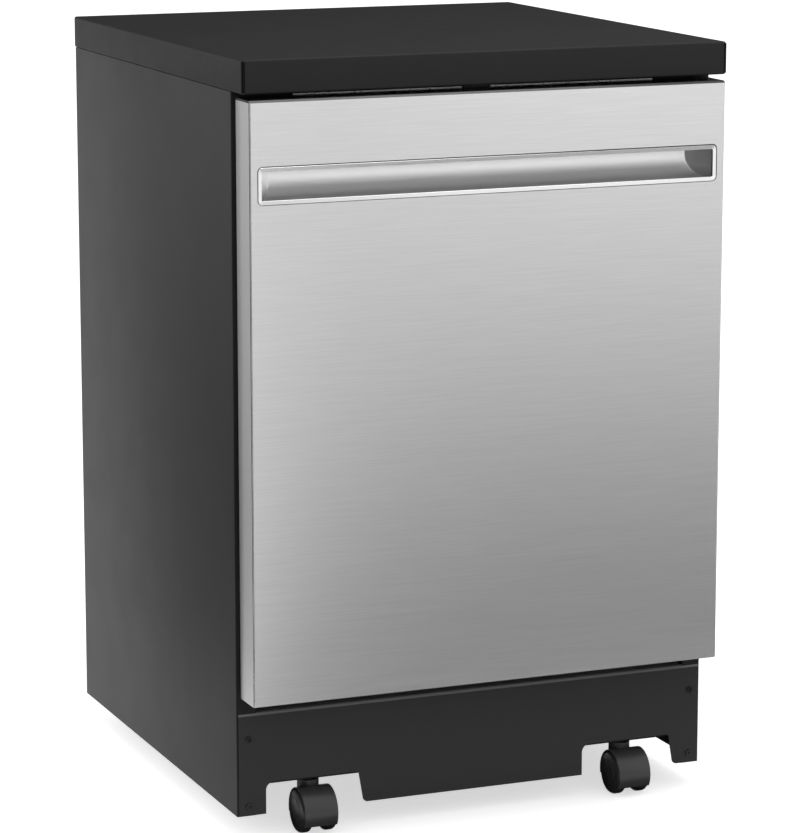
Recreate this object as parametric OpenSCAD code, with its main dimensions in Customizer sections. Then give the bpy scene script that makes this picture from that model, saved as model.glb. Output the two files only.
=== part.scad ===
// Portable dishwasher on casters, with a laminate worktop and a stainless door.
// +Z up, front towards -Y, origin on the floor under the middle of the bounding box.

/* [Cabinet] */
// How far the worktop stands out beside the side panels
worktop_side = 1.7; // [0.2:0.1:10]
// How far the worktop stands out behind the side panels
worktop_back = 1; // [0.9:0.1:10]
// Thickness of the worktop slab
worktop_t = 39; // [25:1:45]
// Radius of the worktop's upright corners
worktop_corner_r = 4; // [2:0.5:10]
// How far the worktop's front edge stands ahead of the side panels
worktop_front = 40; // [30:1:46]
// Width over the side panels
cabinet_w = 606.6; // [590:0.2:606.6]
// Depth of the side panels
cabinet_d = 590; // [580:1:600]
// Height of the side panels
cabinet_h = 856; // [846:1:880]
// Height of the side panels' bottom edge above the floor
floor_gap = 29; // [28:0.5:33]
// Sheet thickness of the side, rear and toe-kick panels
sheet_t = 1.5; // [1:0.1:2]
// Width of the side panels' folded edges
panel_fold = 22; // [16:1:24]
// Joint between the side panels and the worktop
worktop_joint = 0.4; // [0.2:0.1:1]

/* [Toe-kick] */
// Height of the toe-kick plate's top edge above the cabinet's bottom edge
toe_top = 125.7; // [118:0.1:130]
// Depth of the toe-kick's bent top edge
toe_lip = 18; // [10:1:20]
// Outside radius of that bend
toe_bend_r = 4; // [2:0.5:6]
// Height of the caster notches
notch_h = 39.4; // [36:0.2:45]
// Notch edge to caster centre, on the straight side
notch_straight = 62; // [60:1:66]
// Notch edge to caster centre, on the slanted side at the top
notch_slanted = 56; // [55:1:60]
// How much the slanted side flares out towards the bottom
notch_flare = 5; // [2:1:8]
// Corner radius on the notch's straight side
notch_corner_r = 10; // [6:1:14]
// Screws' middle to the side panel's outer face
screw_inset = 14.3; // [11:0.5:17]
// Heights of the lower and upper screws
screw_z = [12.5, 93.5];
// Radius of a screw head
screw_head_r = 4; // [3:0.5:5]
// Radius of a screw's shank
screw_r = 2; // [1.5:0.25:2.5]

/* [Casters] */
// Wheel radius
wheel_r = 26.2; // [25:0.1:27]
// Width of each wheel over its domed face
wheel_w = 16.5; // [15:0.5:17]
// How far a wheel's face bulges
wheel_dome = 3; // [2:0.5:4]
// Outer width over both wheels
caster_w = 51; // [48:0.5:51]
// Axle to swivel axis, measured level
caster_trail = 18.3; // [16:0.1:24]
// Swivel axis to the side panel's outer face
caster_inset = 97.6; // [93:0.2:103]
// Front swivel axes behind the side panels' front edge
caster_front_y = 24.6; // [22:0.2:30]
// Rear swivel axes ahead of the side panels' rear edge
caster_rear_inset = 62; // [60:1:90]
// Radial gap between wheel and hood
hood_gap = 0.8; // [0.5:0.1:1.2]
// Thickness of the hood
hood_t = 1.5; // [1:0.1:2]
// Radius of the neck round the stem
neck_r = 13; // [12:0.5:15]
// Radius of the stem
stem_r = 5.5; // [4:0.25:7]
// Radius of the axle
caster_axle_r = 4; // [3:0.25:5]
// Radial play of turning fits
play = 0.08; // [0.03:0.01:0.1]

/* [Door] */
// Door's side edge to the side panel's outer face
door_side_gap = 3.8; // [3.5:0.1:8]
// Door's bottom edge above the cabinet's bottom edge
door_bottom = 146; // [140:0.5:150]
// Door skin's top edge below the side panels' top edge
door_top_gap = 8.5; // [8:0.5:12]
// Door's face ahead of the side panels' front edge
door_reach = 47.5; // [44:0.5:55]
// Gap between the door's back edge and the side panels' front edge
door_gap = 3.2; // [2.5:0.1:5]
// Thickness of the door's steel skin
skin_t = 1.2; // [0.8:0.1:1.6]
// Height of the control strip above the door's skin
strip_rise = 2.5; // [1.5:0.1:3]
// Thickness of the inner liner
liner_t = 2; // [1.5:0.1:3]
// How far the liner's raised middle reaches into the tub
liner_rise = 14; // [8:1:16]
// Hinge axis above the door's bottom edge
hinge_up = 8; // [7.5:0.5:10]
// Hinge axis ahead of the side panels' front edge
hinge_ahead = 20; // [18:0.5:22]
// Radius of the hinge pins
hinge_pin_r = 4; // [3:0.25:4.5]
// Radius of the round ends of hinge brackets and arms
hinge_eye_r = 7; // [6:0.25:7.25]

/* [Pocket handle] */
// Bezel's end to the door's side edge
pocket_margin = 10; // [8.5:0.5:20]
// Bezel's bottom edge below the door skin's top edge
pocket_drop = 116.2; // [90:0.1:150]
// Height of the bezel
pocket_h = 43; // [40:0.5:46]
// Width of the bezel's rim
pocket_rim = 6.3; // [5:0.1:8]
// Corner radius of the bezel
pocket_corner_r = 5.5; // [3:0.5:8]
// Radius of the scooped hollow
pocket_scoop_r = 34; // [30:0.5:36]
// How far the hollow's end walls lean inwards
pocket_lean = 20.5; // [10:0.5:26]
// Wall of the scoop
pocket_wall = 2; // [1.5:0.1:2.5]

/* [Controls] */
// Places of the push-buttons across the door's top
button_x = [-111, 61, 129, 158];
// Places of the indicator lenses
lens_x = [-171, -157];
// Size of a push-button's cap
button_size = [8, 6]; // [5:1:10]
// Travel of a push-button
button_travel = 1.2; // [0.5:0.1:2]
// Height of a button above the control strip
button_rise = 0.6; // [0.3:0.1:1]
// Gap round a button
button_gap = 0.3; // [0.2:0.05:0.4]
// Radius of an indicator lens
lens_r = 1.5; // [1:0.1:2]

/* [Tub] */
// Tub's inner wall to the side panel's outer face
tub_side_room = 31.3; // [31.3:0.1:36]
// Tub's inner rear wall to the side panels' rear edge
tub_rear_room = 50; // [46:1:55]
// Tub's floor above the cabinet's bottom edge
tub_floor = 170; // [170:1:172]
// Tub's ceiling below the side panels' top edge
tub_top_room = 24; // [22:1:30]
// Tub wall
tub_t = 3; // [2:0.5:3]
// Corner radius inside the tub
tub_r = 20; // [10:1:24]
// Width of the gasket's face
gasket_w = 12; // [8:1:12]
// Radius of the sump's opening
sump_r = 98; // [90:1:100]
// Sump's middle behind the tub's middle
sump_back = 10; // [5:1:15]
// Bottom of the sump above the cabinet's bottom edge
sump_bottom = 85; // [80:1:90]

/* [Racks] */
// Racks' sides to the tub's inner walls
rack_side_room = 27; // [26:1:36]
// Front of the racks behind the side panels' front edge
rack_front = 46; // [46:1:60]
// Back of the racks to the tub's inner rear wall
rack_rear_room = 36; // [36:1:60]
// Wire thickness
wire = 3.2; // [2.5:0.1:4]
// Bottom of the lower rack above the cabinet's bottom edge
lower_rack_z = 216; // [214:1:220]
// Height of the lower rack
lower_rack_h = 118; // [100:2:130]
// Bottom of the upper rack above the cabinet's bottom edge
upper_rack_z = 528; // [526:1:540]
// Height of the upper rack
upper_rack_h = 112; // [90:2:130]
// Largest spacing of the wires
wire_pitch = 46; // [36:1:60]
// Height of the tines
tine_h = 72; // [50:1:80]
// Radius of the lower rack's rollers
roller_r = 14; // [12:0.5:15]

/* [Spray arms] */
// Lower arm's tips to the nearest tub wall
lower_arm_gap = 32; // [28:1:60]
// Upper arm's tips to the nearest tub wall
upper_arm_gap = 55; // [40:1:80]
// Thickness of the arms
arm_t = 10; // [8:0.5:12]
// Width of an arm at its root
arm_root_w = 52; // [40:1:60]
// Width of an arm at its tip
arm_tip_w = 30; // [24:1:40]

/* [Hidden] */
$fn = 64;

// Clearance between pieces that move past each other
clear = 0.3;
// How far elbows stand proud of their tubes
elbow_rise = 0.8;
// Overshoot of cuts and overlap of unions
eps = 1;

// The cabinet's own frame has its origin at the front and bottom edges of the side panels.
worktop_rear = cabinet_d + worktop_back;
cabinet_y = (door_reach - worktop_rear) / 2;

// Cabinet
side_out = cabinet_w / 2;
worktop_half = side_out + worktop_side;
screw_x = side_out - screw_inset;
caster_x = side_out - caster_inset;
caster_rear_y = cabinet_d - caster_rear_inset;
side_in = side_out - sheet_t;
frame_half = side_in - 0.5;
fold_in = side_in - panel_fold;
fold_back = 2 * sheet_t;
under_top = cabinet_h + worktop_joint;
ring_t = 3;
frame_top = under_top - ring_t;
rear_fold_y = cabinet_d - 2 * sheet_t;

// Base frame
pan_top = 42;
pan_t = 2;
pan_z = pan_top - pan_t;
member_t = 2;
post_w = frame_half - fold_in;
post_d = 20;
post_front = 8;
post_rear = rear_fold_y - 3 - post_d;
sill_z = 2;
front_rim_h = 7;
socket_r = 12;
socket_top = 82;
bulkhead_z = 150;
bulkhead_y = caster_front_y;

// Door's overall size
door_half = side_out - door_side_gap;
door_w = 2 * door_half;
door_top = cabinet_h - door_top_gap;
pocket_w = door_w - 2 * pocket_margin;
pocket_z = door_top - pocket_drop;

// Tub
tub_half = side_out - tub_side_room;
tub_back = cabinet_d - tub_rear_room;
tub_ceiling = cabinet_h - tub_top_room;
tub_out = tub_half + tub_t;
sump_y = tub_back / 2 + sump_back;
tub_reach = min(tub_half, tub_back - sump_y);
tub_under = tub_floor - tub_t;
flange_y = 4;
flange_t = 2;
flange_half = tub_out + 4.5;
flange_z0 = tub_under - 5;
flange_z1 = door_top + 3.5;
ledge_w = 26;
ledge_h = 19.7;
ledge_ends = 15;
gasket_front = -door_gap + liner_t + clear;
gasket_half = flange_half - 0.5;
gasket_z0 = flange_z0 + 1;
gasket_z1 = tub_ceiling + 11;
float_pos = [57 - tub_half, 60];
float_stem_r = 4;
feed_r = 11;
feed_y = tub_back - feed_r - elbow_rise - clear;
feed_hole_r = 8;

// Door
door_in = door_half - skin_t;
face_y = -door_reach;
skin_back = face_y + skin_t;
door_back = -door_gap;
hinge_y = -hinge_ahead;
hinge_z = door_bottom + hinge_up;
liner_z0 = door_bottom + 3;
liner_top = door_top - 6.5;
strip_top = door_top + strip_rise;
tray_half = tub_half - rack_side_room - wire - 4;
tray_z0 = 190;
tray_z1 = door_top - 29.5;
tray_r = 25;
ear_x = tub_out - 1;
ear_t = 3;
arm_x = ear_x + 16;
arm_plate_t = 3;
pin_end = arm_x + arm_plate_t + 3;
cup_half = 95;
cup_z0 = 350;
cup_z1 = 490;
cup_back = -14;
lid_x0 = -84;
lid_x1 = 14;
lid_z0 = 375;
lid_h = 99;
lid_t = 3.5;
cap_pos = [55, 425];
cap_r = 13.5;
cup_face = door_back + liner_t + liner_rise + 0.7;
lid_y = cup_face + clear;
board_z = door_top - 13;
board_t = 1.6;
button_y = -14;
latch_half = 16;
mouth_half = 11;
mouth_h = 5.2;
tongue_half = 9;
tongue_t = 2.4;

// Racks
rack_half = tub_half - rack_side_room;
rack_w = 2 * rack_half;
rack_back = tub_back - rack_rear_room;
rack_d = rack_back - rack_front;
roller_w = 12;
roller_z = tub_floor + ledge_h + clear + roller_r;
roller_y = [rack_front + 34, rack_front + 154, rack_back - 154, rack_back - 34];
roller_x = rack_half + 5;
roller_axle_r = 3;
rail_z = upper_rack_z + 40;
rail_half_h = 8;
rail_lip = 2;
rail_w = 10.5;
rail_front = 10;
rail_back = rack_back + 12;
rail_roller_r = rail_half_h - 0.4;
basket_x = [rack_half - 115, rack_half - 13];
basket_y = [rack_front + 54, rack_back - 74];
basket_h = 108;
lower_tine_pitch = 55;
lower_tines_x = [for (x = 40 - rack_half; x < basket_x[0] - 30; x = x + lower_tine_pitch) x];
upper_tine_pitch = 60;
upper_tines_x = [for (x = 70; x < rack_half - 40; x = x + upper_tine_pitch) each [-x, x]];

// Spray arms
lower_arm_r = tub_reach - lower_arm_gap;
upper_arm_r = tub_reach - upper_arm_gap;
post_r = 12;
hub_r = 28;
lower_arm_z = 192;
upper_arm_z = upper_rack_z - 42;
pipe_r = 10.5;
pipe_z = upper_rack_z - 14;
arm_post_r = 9;

// Casters
axle_z = wheel_r - floor_gap;
web_half = caster_w / 2 - wheel_w - 0.8;
hood_in = wheel_r + hood_gap;
hood_out = hood_in + hood_t;
hood_half = caster_w / 2 - wheel_dome - 1.5;

// Shared forms

// Moves a piece from the cabinet's frame to the floor under the bounding box's middle.
module in_cabinet() {
    translate([0, cabinet_y, floor_gap]) children();
}

module both_sides() {
    children();
    mirror([1, 0, 0]) children();
}

// A box from its low corner to its high corner.
module box(low, high) {
    translate(low) cube(high - low);
}

// A box and its mirror image on the other side of the cabinet.
module side_boxes(low, high) {
    both_sides() box(low, high);
}

// Extrudes an outline drawn in X and Z towards +Y.
module along_y(y, length) {
    translate([0, y + length, 0]) rotate([90, 0, 0]) linear_extrude(length) children();
}

// Extrudes an outline drawn in Y and Z towards +X.
module along_x(x, length) {
    translate([x, 0, 0]) rotate([90, 0, 90]) linear_extrude(length) children();
}

// A cylinder from x to x + length.
module rod_x(pos, r, length) {
    translate(pos) rotate([0, 90, 0]) cylinder(r = r, h = length);
}

// A cylinder from y to y + length.
module rod_y(pos, r, length) {
    translate(pos) rotate([-90, 0, 0]) cylinder(r = r, h = length);
}

module rounded_rect(low, high, r) {
    translate(low + [r, 0]) square(high - low - [2 * r, 0]);
    translate(low + [0, r]) square(high - low - [0, 2 * r]);
    for (x = [low[0] + r, high[0] - r], y = [low[1] + r, high[1] - r]) translate([x, y]) circle(r);
}

// Points on an arc between two angles.
function arc(centre, r, from, to, steps = 8) = [for (i = [0 : steps])
    let (a = from + (to - from) * i / steps) centre + r * [cos(a), sin(a)]];

// Corner points of a rectangle.
function corners(x0, y0, x1, y1) = [[x0, y0], [x1, y0], [x1, y1], [x0, y1]];

// A flat grid of wires: an outline with evenly spaced square windows.
module wire_grid(w, h) {
    nx = ceil((w - wire) / wire_pitch);
    ny = ceil((h - wire) / wire_pitch);
    sx = (w - wire) / nx;
    sy = (h - wire) / ny;
    windows = [for (i = [0 : nx - 1], j = [0 : ny - 1])
        corners(wire + i * sx, wire + j * sy, (i + 1) * sx, (j + 1) * sy)];
    loops = concat([corners(0, 0, w, h)], windows);
    polygon(
        points = [for (loop = loops) for (p = loop) p],
        paths = [for (i = [0 : len(loops) - 1]) [for (j = [0 : 3]) 4 * i + j]]
    );
}

// An open basket of wire grids, from its low corner.
module wire_basket(size) {
    linear_extrude(wire) wire_grid(size[0], size[1]);
    for (y = [0, size[1] - wire]) along_y(y, wire) wire_grid(size[0], size[2]);
    for (x = [0, size[0] - wire]) along_x(x, wire) wire_grid(size[1], size[2]);
}

// A row of tines that stand on one wire and point up, along Y.
module tine_row(length, count) {
    step = (length - wire) / (count - 1);
    teeth = [for (i = [0 : count - 1]) each [
        [i * step, wire / 2], [i * step, tine_h], [i * step + wire, tine_h], [i * step + wire, wire / 2]
    ]];
    along_x(0, wire) polygon(concat([[0, 0]], teeth, [[length, 0]]));
}

// A straight round piece from a to b.
module rod(a, b, r) {
    d = b - a;
    l = norm(d);
    translate(a) rotate([0, acos(d[2] / l), atan2(d[1], d[0])]) cylinder(r = r, h = l);
}

// A hose along a list of points, with a slightly fuller round elbow at each bend.
// Every other stretch is a little thinner, so that two neighbours' walls cross cleanly.
module hose(points, r) {
    for (i = [0 : len(points) - 2]) rod(points[i], points[i + 1], r - (i % 2) * elbow_rise / 2);
    for (i = [1 : len(points) - 2]) translate(points[i]) sphere(r + elbow_rise);
}

// Cabinet pieces

module worktop() {
    color("#2c2c2c") in_cabinet() translate([0, 0, under_top]) linear_extrude(worktop_t)
        rounded_rect([-worktop_half, -worktop_front], [worktop_half, worktop_rear], worktop_corner_r);
}

// Flat steel ring under the worktop, with two tabs that close the gap beside the trim strips.
module worktop_frame() {
    bar = 36;
    front = fold_back + 1.5;
    back = rear_fold_y - 1.5;
    color("#202020") in_cabinet() {
        difference() {
            box([-frame_half, front, frame_top], [frame_half, back, under_top]);
            box([bar - frame_half, front + bar, frame_top - eps],
                [frame_half - bar, back - bar, under_top + eps]);
        }
        side_boxes([strip_x1 + clear, strip_face, door_top + 1], [fold_in - 1, flange_y, under_top]);
        side_boxes([strip_x1 + clear, strip_face, flange_z1 + clear],
            [fold_in - 1, front + 4, under_top]);
    }
}

strip_x0 = 17.8;
strip_x1 = fold_in - 51.8;
strip_face = 2.2;

// Bright strips on the tub's flange, seen through the gap above the door.
module trim_strips() {
    color("#8c8c8c") in_cabinet()
        side_boxes([strip_x0, strip_face, gasket_z1 + 1], [strip_x1, flange_y, flange_z1]);
}

// Right side panel: a sheet with folded front and rear edges.
module side_panel() {
    difference() {
        linear_extrude(cabinet_h) polygon([
            [side_out, 0], [side_out, cabinet_d], [side_in, cabinet_d],
            [side_in, rear_fold_y + sheet_t], [fold_in, rear_fold_y + sheet_t], [fold_in, rear_fold_y],
            [side_in, rear_fold_y], [side_in, fold_back], [fold_in, fold_back], [fold_in, sheet_t],
            [side_in, sheet_t], [side_in, 0]
        ]);
        for (z = screw_z) rod_y([screw_x, 0, z], screw_r + 0.2, 5);
    }
}

module side_panel_right() {
    color("#404040") in_cabinet() side_panel();
}

module side_panel_left() {
    color("#404040") in_cabinet() mirror([1, 0, 0]) side_panel();
}

// Cord gland, fill outlet and drain outlet: place across and up, radius and bore
outlets = [[-200, 120, 6, 4.5], [120, 110, 12, 9], [170, 110, 12, 9]];
outlet_flange = 4;
outlet_flange_t = 0.9;
outlet_depth = 18;
rear_rib_x = [-190, -90, 90, 190];
rear_rib_w = 22;
rear_rib_z0 = 190;
rear_rib_z1 = cabinet_h - 96;
rear_rib_rise = 0.8;

// Rear sheet with pressed ribs and the holes for the outlets.
module rear_panel() {
    y = cabinet_d - sheet_t;
    color("#303030") in_cabinet() difference() {
        union() {
            box([-frame_half, y, pan_z], [frame_half, cabinet_d, cabinet_h - 0.5]);
            for (x = rear_rib_x) along_y(y, sheet_t + rear_rib_rise) rounded_rect(
                [x - rear_rib_w / 2, rear_rib_z0], [x + rear_rib_w / 2, rear_rib_z1], rear_rib_w / 2 - 1);
        }
        for (o = outlets) rod_y([o[0], y - eps, o[1]], o[2] + 0.2, sheet_t + 2 * eps);
    }
}

// Cord gland and the two hose outlets, each a flanged bush in the rear panel.
module rear_outlets() {
    color("#1c1c1c") in_cabinet() for (o = outlets) difference() {
        union() {
            rod_y([o[0], cabinet_d, o[1]], o[2] + outlet_flange, outlet_flange_t);
            rod_y([o[0], cabinet_d - outlet_depth, o[1]], o[2], outlet_depth + eps / 2);
        }
        rod_y([o[0], cabinet_d - outlet_depth - eps, o[1]], o[3], outlet_depth + 3 * eps);
    }
}

// Cut-out for one caster, drawn about the caster's middle.
module notch() {
    foot = notch_slanted + notch_flare;
    foot_r = 6;
    small_r = 3.5;
    polygon(concat(
        [[-notch_straight, -5]],
        arc([-notch_straight + notch_corner_r, notch_h - notch_corner_r], notch_corner_r, 180, 90),
        arc([notch_slanted - small_r, notch_h - small_r], small_r, 90, 8),
        arc([foot + foot_r, foot_r + toe_bottom], foot_r, 180, 270),
        [[foot + foot_r, -5]]
    ));
}

toe_bottom = 0.8;

module toe_kick() {
    color("#2b2b2b") in_cabinet() difference() {
        along_x(-frame_half, 2 * frame_half) polygon(concat(
            [[0, toe_bottom]],
            arc([toe_bend_r, toe_top - toe_bend_r], toe_bend_r, 180, 90),
            [[toe_lip, toe_top], [toe_lip, toe_top - sheet_t]],
            arc([toe_bend_r, toe_top - toe_bend_r], toe_bend_r - sheet_t, 90, 180),
            [[sheet_t, toe_bottom]]
        ));
        for (x = [-caster_x, caster_x]) along_y(-eps, 4 * eps) translate([x, 0]) notch();
        side_boxes([fold_in - clear, sheet_t, toe_top - toe_bend_r - eps],
            [frame_half + eps, toe_lip + eps, toe_top + eps]);
        for (x = [-screw_x, screw_x], z = screw_z) rod_y([x, -eps, z], screw_r + 0.2, 4);
    }
}

module toe_kick_screws() {
    head_t = 1.6;
    cross = 0.8;
    cross_half = 2.4;
    color("#1a1a1a") in_cabinet() for (x = [-screw_x, screw_x], z = screw_z) difference() {
        union() {
            rod_y([x, -head_t, z], screw_head_r, head_t);
            rod_y([x, -eps / 2, z], screw_r, 6);
        }
        box([x - cross_half, -head_t - eps, z - cross / 2], [x + cross_half, 1 - head_t, z + cross / 2]);
        box([x - cross / 2, -head_t - eps, z - cross_half], [x + cross / 2, 1 - head_t, z + cross_half]);
    }
}

// Angle section for one upright, with its corner at the outside and front.
module post(y, depth) {
    lean = depth > 0 ? member_t : -member_t;
    translate([0, 0, pan_top - eps]) linear_extrude(frame_top - pan_top + eps) polygon([
        [frame_half, y], [frame_half, y + depth], [frame_half - member_t, y + depth],
        [frame_half - member_t, y + lean], [frame_half - post_w, y + lean], [frame_half - post_w, y]
    ]);
}

// Welded sheet frame: drip pan with rims, four uprights, shelf rails for the tub, caster sockets.
module base_frame() {
    back = post_rear + post_d;
    color("#262626") in_cabinet() difference() {
        union() {
            box([-frame_half, post_front, pan_z], [frame_half, back, pan_top]);
            side_boxes([frame_half - member_t, post_front, sill_z], [frame_half, back, pan_top]);
            for (y = [post_front, back - member_t])
                box([-frame_half, y, pan_top - front_rim_h], [frame_half, y + member_t, pan_top]);
            both_sides() {
                post(post_front, post_d);
                post(back, -post_d);
            }
            side_boxes([tub_out - 13, post_front, tub_under - member_t], [frame_half, back, tub_under]);
            side_boxes([frame_half - member_t, post_front, tub_under - 22], [frame_half, back, tub_under]);
            box([-frame_half, bulkhead_y, pan_top - eps],
                [frame_half, bulkhead_y + member_t, bulkhead_z]);
            for (x = [-caster_x, caster_x], y = [caster_front_y, caster_rear_y])
                translate([x, y, pan_z]) cylinder(r = socket_r, h = socket_top - pan_z);
        }
        for (x = [-caster_x, caster_x], y = [caster_front_y, caster_rear_y])
            translate([x, y, pan_z - eps]) cylinder(r = stem_r + play, h = socket_top - pan_z + 2 * eps);
    }
}

// Tub and what stands in it

heater_r = tub_reach - 110;
heater_rod_r = 4;
heater_z = tub_floor + 10;
heater_gap = 40;

module tub() {
    color("#b9bcbd") in_cabinet() difference() {
        union() {
            along_y(flange_y + eps, tub_back + tub_t - flange_y - eps)
                rounded_rect([-tub_out, tub_under], [tub_out, tub_ceiling + tub_t], tub_r + tub_t);
            along_y(flange_y, flange_t)
                rounded_rect([-flange_half, flange_z0], [flange_half, flange_z1], 6);
        }
        difference() {
            along_y(flange_y - eps, tub_back - flange_y + eps)
                rounded_rect([-tub_half, tub_floor], [tub_half, tub_ceiling], tub_r);
            side_boxes([tub_half - ledge_w, ledge_ends, tub_floor - eps],
                [tub_out, tub_back - ledge_ends, tub_floor + ledge_h]);
        }
        translate([0, sump_y, tub_under - eps]) cylinder(r = sump_r + clear, h = 3 * tub_t);
        translate([float_pos[0], float_pos[1], tub_under - eps])
            cylinder(r = float_stem_r + clear, h = 3 * tub_t);
        translate([0, feed_y, tub_under - eps]) cylinder(r = feed_hole_r, h = 3 * tub_t);
        for (a = [90 - heater_gap / 2, 90 + heater_gap / 2])
            translate([heater_r * cos(a), sump_y + heater_r * sin(a), tub_under - eps])
                cylinder(r = heater_rod_r + clear, h = 3 * tub_t);
    }
}

module tub_gasket() {
    color("#3a3a3a") in_cabinet() along_y(gasket_front, flange_y - gasket_front) difference() {
        rounded_rect([-gasket_half, gasket_z0], [gasket_half, gasket_z1], tub_r + 6);
        rounded_rect([gasket_w - gasket_half, gasket_z0 + gasket_w],
            [gasket_half - gasket_w, gasket_z1 - gasket_w], tub_r - 2);
    }
}

filter_x = 55;
filter_r = 28;
filter_cap_r = 32;
screen_t = 2;
sump_flange_t = 2.5;
screen_z = tub_floor + sump_flange_t;
pump_y = sump_y;
pump_x = sump_r + 14;

// Sump bowl, with the post that carries the lower spray arm and stubs for the pumps.
module sump() {
    color("#4c5054") in_cabinet() {
        difference() {
            union() {
                translate([0, sump_y, sump_bottom]) cylinder(r = sump_r, h = screen_z - sump_bottom);
                translate([0, sump_y, tub_floor]) cylinder(r = sump_r + 14, h = sump_flange_t);
                rod_x([0, sump_y, pump_z], 18, pump_x);
                rod_x([-pump_x, sump_y, drain_z], 11, pump_x);
            }
            translate([0, sump_y, sump_bottom + tub_t]) cylinder(r = sump_r - tub_t, h = screen_z);
        }
        translate([0, sump_y, sump_bottom]) cylinder(r = post_r + 4, h = lower_arm_z - clear - sump_bottom);
        translate([0, sump_y, sump_bottom]) cylinder(r = post_r, h = lower_arm_z + arm_t + 2 - sump_bottom);
        translate([0, sump_y, lower_arm_z + arm_t + clear]) cylinder(r = post_r + 4, h = 3);
    }
}

// Filter cup that lifts out of the sump, and the flat screen round it.
module filters() {
    color("#7d8286") in_cabinet() {
        filter_cup();
        filter_screen();
    }
}

module filter_cup() {
    translate([filter_x, sump_y, 0]) difference() {
        union() {
            translate([0, 0, sump_bottom + tub_t]) cylinder(r = filter_r, h = screen_z - sump_bottom);
            translate([0, 0, screen_z + screen_t]) cylinder(r = filter_cap_r, h = 6);
        }
        translate([0, 0, sump_bottom + 2 * tub_t]) cylinder(r = filter_r - 2, h = screen_z);
    }
}

module filter_screen() {
    translate([0, sump_y, screen_z]) difference() {
        cylinder(r = sump_r + 8, h = screen_t);
        translate([0, 0, -eps]) cylinder(r = post_r + 5, h = 3 * screen_t);
        translate([filter_x, 0, -eps]) cylinder(r = filter_r + 0.6, h = 3 * screen_t);
    }
}

pump_z = sump_bottom + 25;
wash_volute_w = 22;
wash_outlet_end = 62;
drain_z = sump_bottom + 15;
drain_volute_w = 20;
drain_outlet_end = 42;

// Wash pump beside the sump: volute, motor, outlet stub and bracket.
module circulation_pump() {
    volute_r = 46;
    motor_r = 40;
    motor_l = 100;
    outlet_r = 10;
    bracket_x = [pump_x + 40, pump_x + 100];
    bracket_half = 20;
    color("#55595c") in_cabinet() {
        rod_x([pump_x, pump_y, pump_z], volute_r, wash_volute_w);
        rod_x([pump_x + wash_volute_w - eps, pump_y, pump_z], motor_r, motor_l);
        rod_y([pump_x + wash_volute_w / 2, pump_y, pump_z], outlet_r, wash_outlet_end);
        box([bracket_x[0], pump_y - bracket_half, pan_top],
            [bracket_x[1], pump_y + bracket_half, pump_z - motor_r + 8]);
    }
}

// Drain pump on the sump's other side, smaller.
module drain_pump() {
    volute_r = 30;
    motor_r = 24;
    motor_l = 60;
    outlet_r = 8.5;
    bracket_x = [-pump_x - 66, -pump_x - 26];
    bracket_half = 14;
    color("#6a6e70") in_cabinet() {
        rod_x([-pump_x - drain_volute_w, pump_y, drain_z], volute_r, drain_volute_w);
        rod_x([-pump_x - drain_volute_w - motor_l, pump_y, drain_z], motor_r, motor_l + eps);
        rod_y([-pump_x - drain_volute_w / 2, pump_y, drain_z], outlet_r, drain_outlet_end);
        box([bracket_x[0], pump_y - bracket_half, pan_top],
            [bracket_x[1], pump_y + bracket_half, drain_z - motor_r + 6]);
    }
}

// Heater rod: most of a ring on three stands, with both ends down through the tub's floor.
module heating_element() {
    start = 90 + heater_gap / 2;
    leg_drop = 15;
    stand_r = 3;
    color("#3c3834") in_cabinet() translate([0, sump_y, 0]) {
        translate([0, 0, heater_z]) rotate([0, 0, start])
            rotate_extrude(angle = 360 - heater_gap, $fn = 96)
                translate([heater_r, 0]) circle(heater_rod_r, $fn = 24);
        for (a = [start, 90 - heater_gap / 2]) translate([heater_r * cos(a), heater_r * sin(a), 0]) {
            translate([0, 0, tub_under - leg_drop])
                cylinder(r = heater_rod_r, h = heater_z - tub_under + leg_drop);
            translate([0, 0, heater_z]) sphere(heater_rod_r + elbow_rise / 2);
        }
        for (a = [200, 270, 340]) translate([heater_r * cos(a), heater_r * sin(a), tub_floor])
            cylinder(r = stand_r, h = heater_z - tub_floor);
    }
}

valve_low = [26.3 - frame_half, cabinet_d - 72, pan_top];
valve_high = valve_low + [45, 54, 42];

// Inlet valve on the pan, with a solenoid for each of its two coils.
module inlet_valve() {
    coil_r = 9;
    coil_h = 23;
    color("#d9d6cc") in_cabinet() {
        box(valve_low, valve_high);
        for (y = [valve_low[1] + 14, valve_low[1] + 38])
            translate([valve_low[0] + 32, y, valve_high[2] - eps]) cylinder(r = coil_r, h = coil_h + eps);
    }
}

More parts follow.
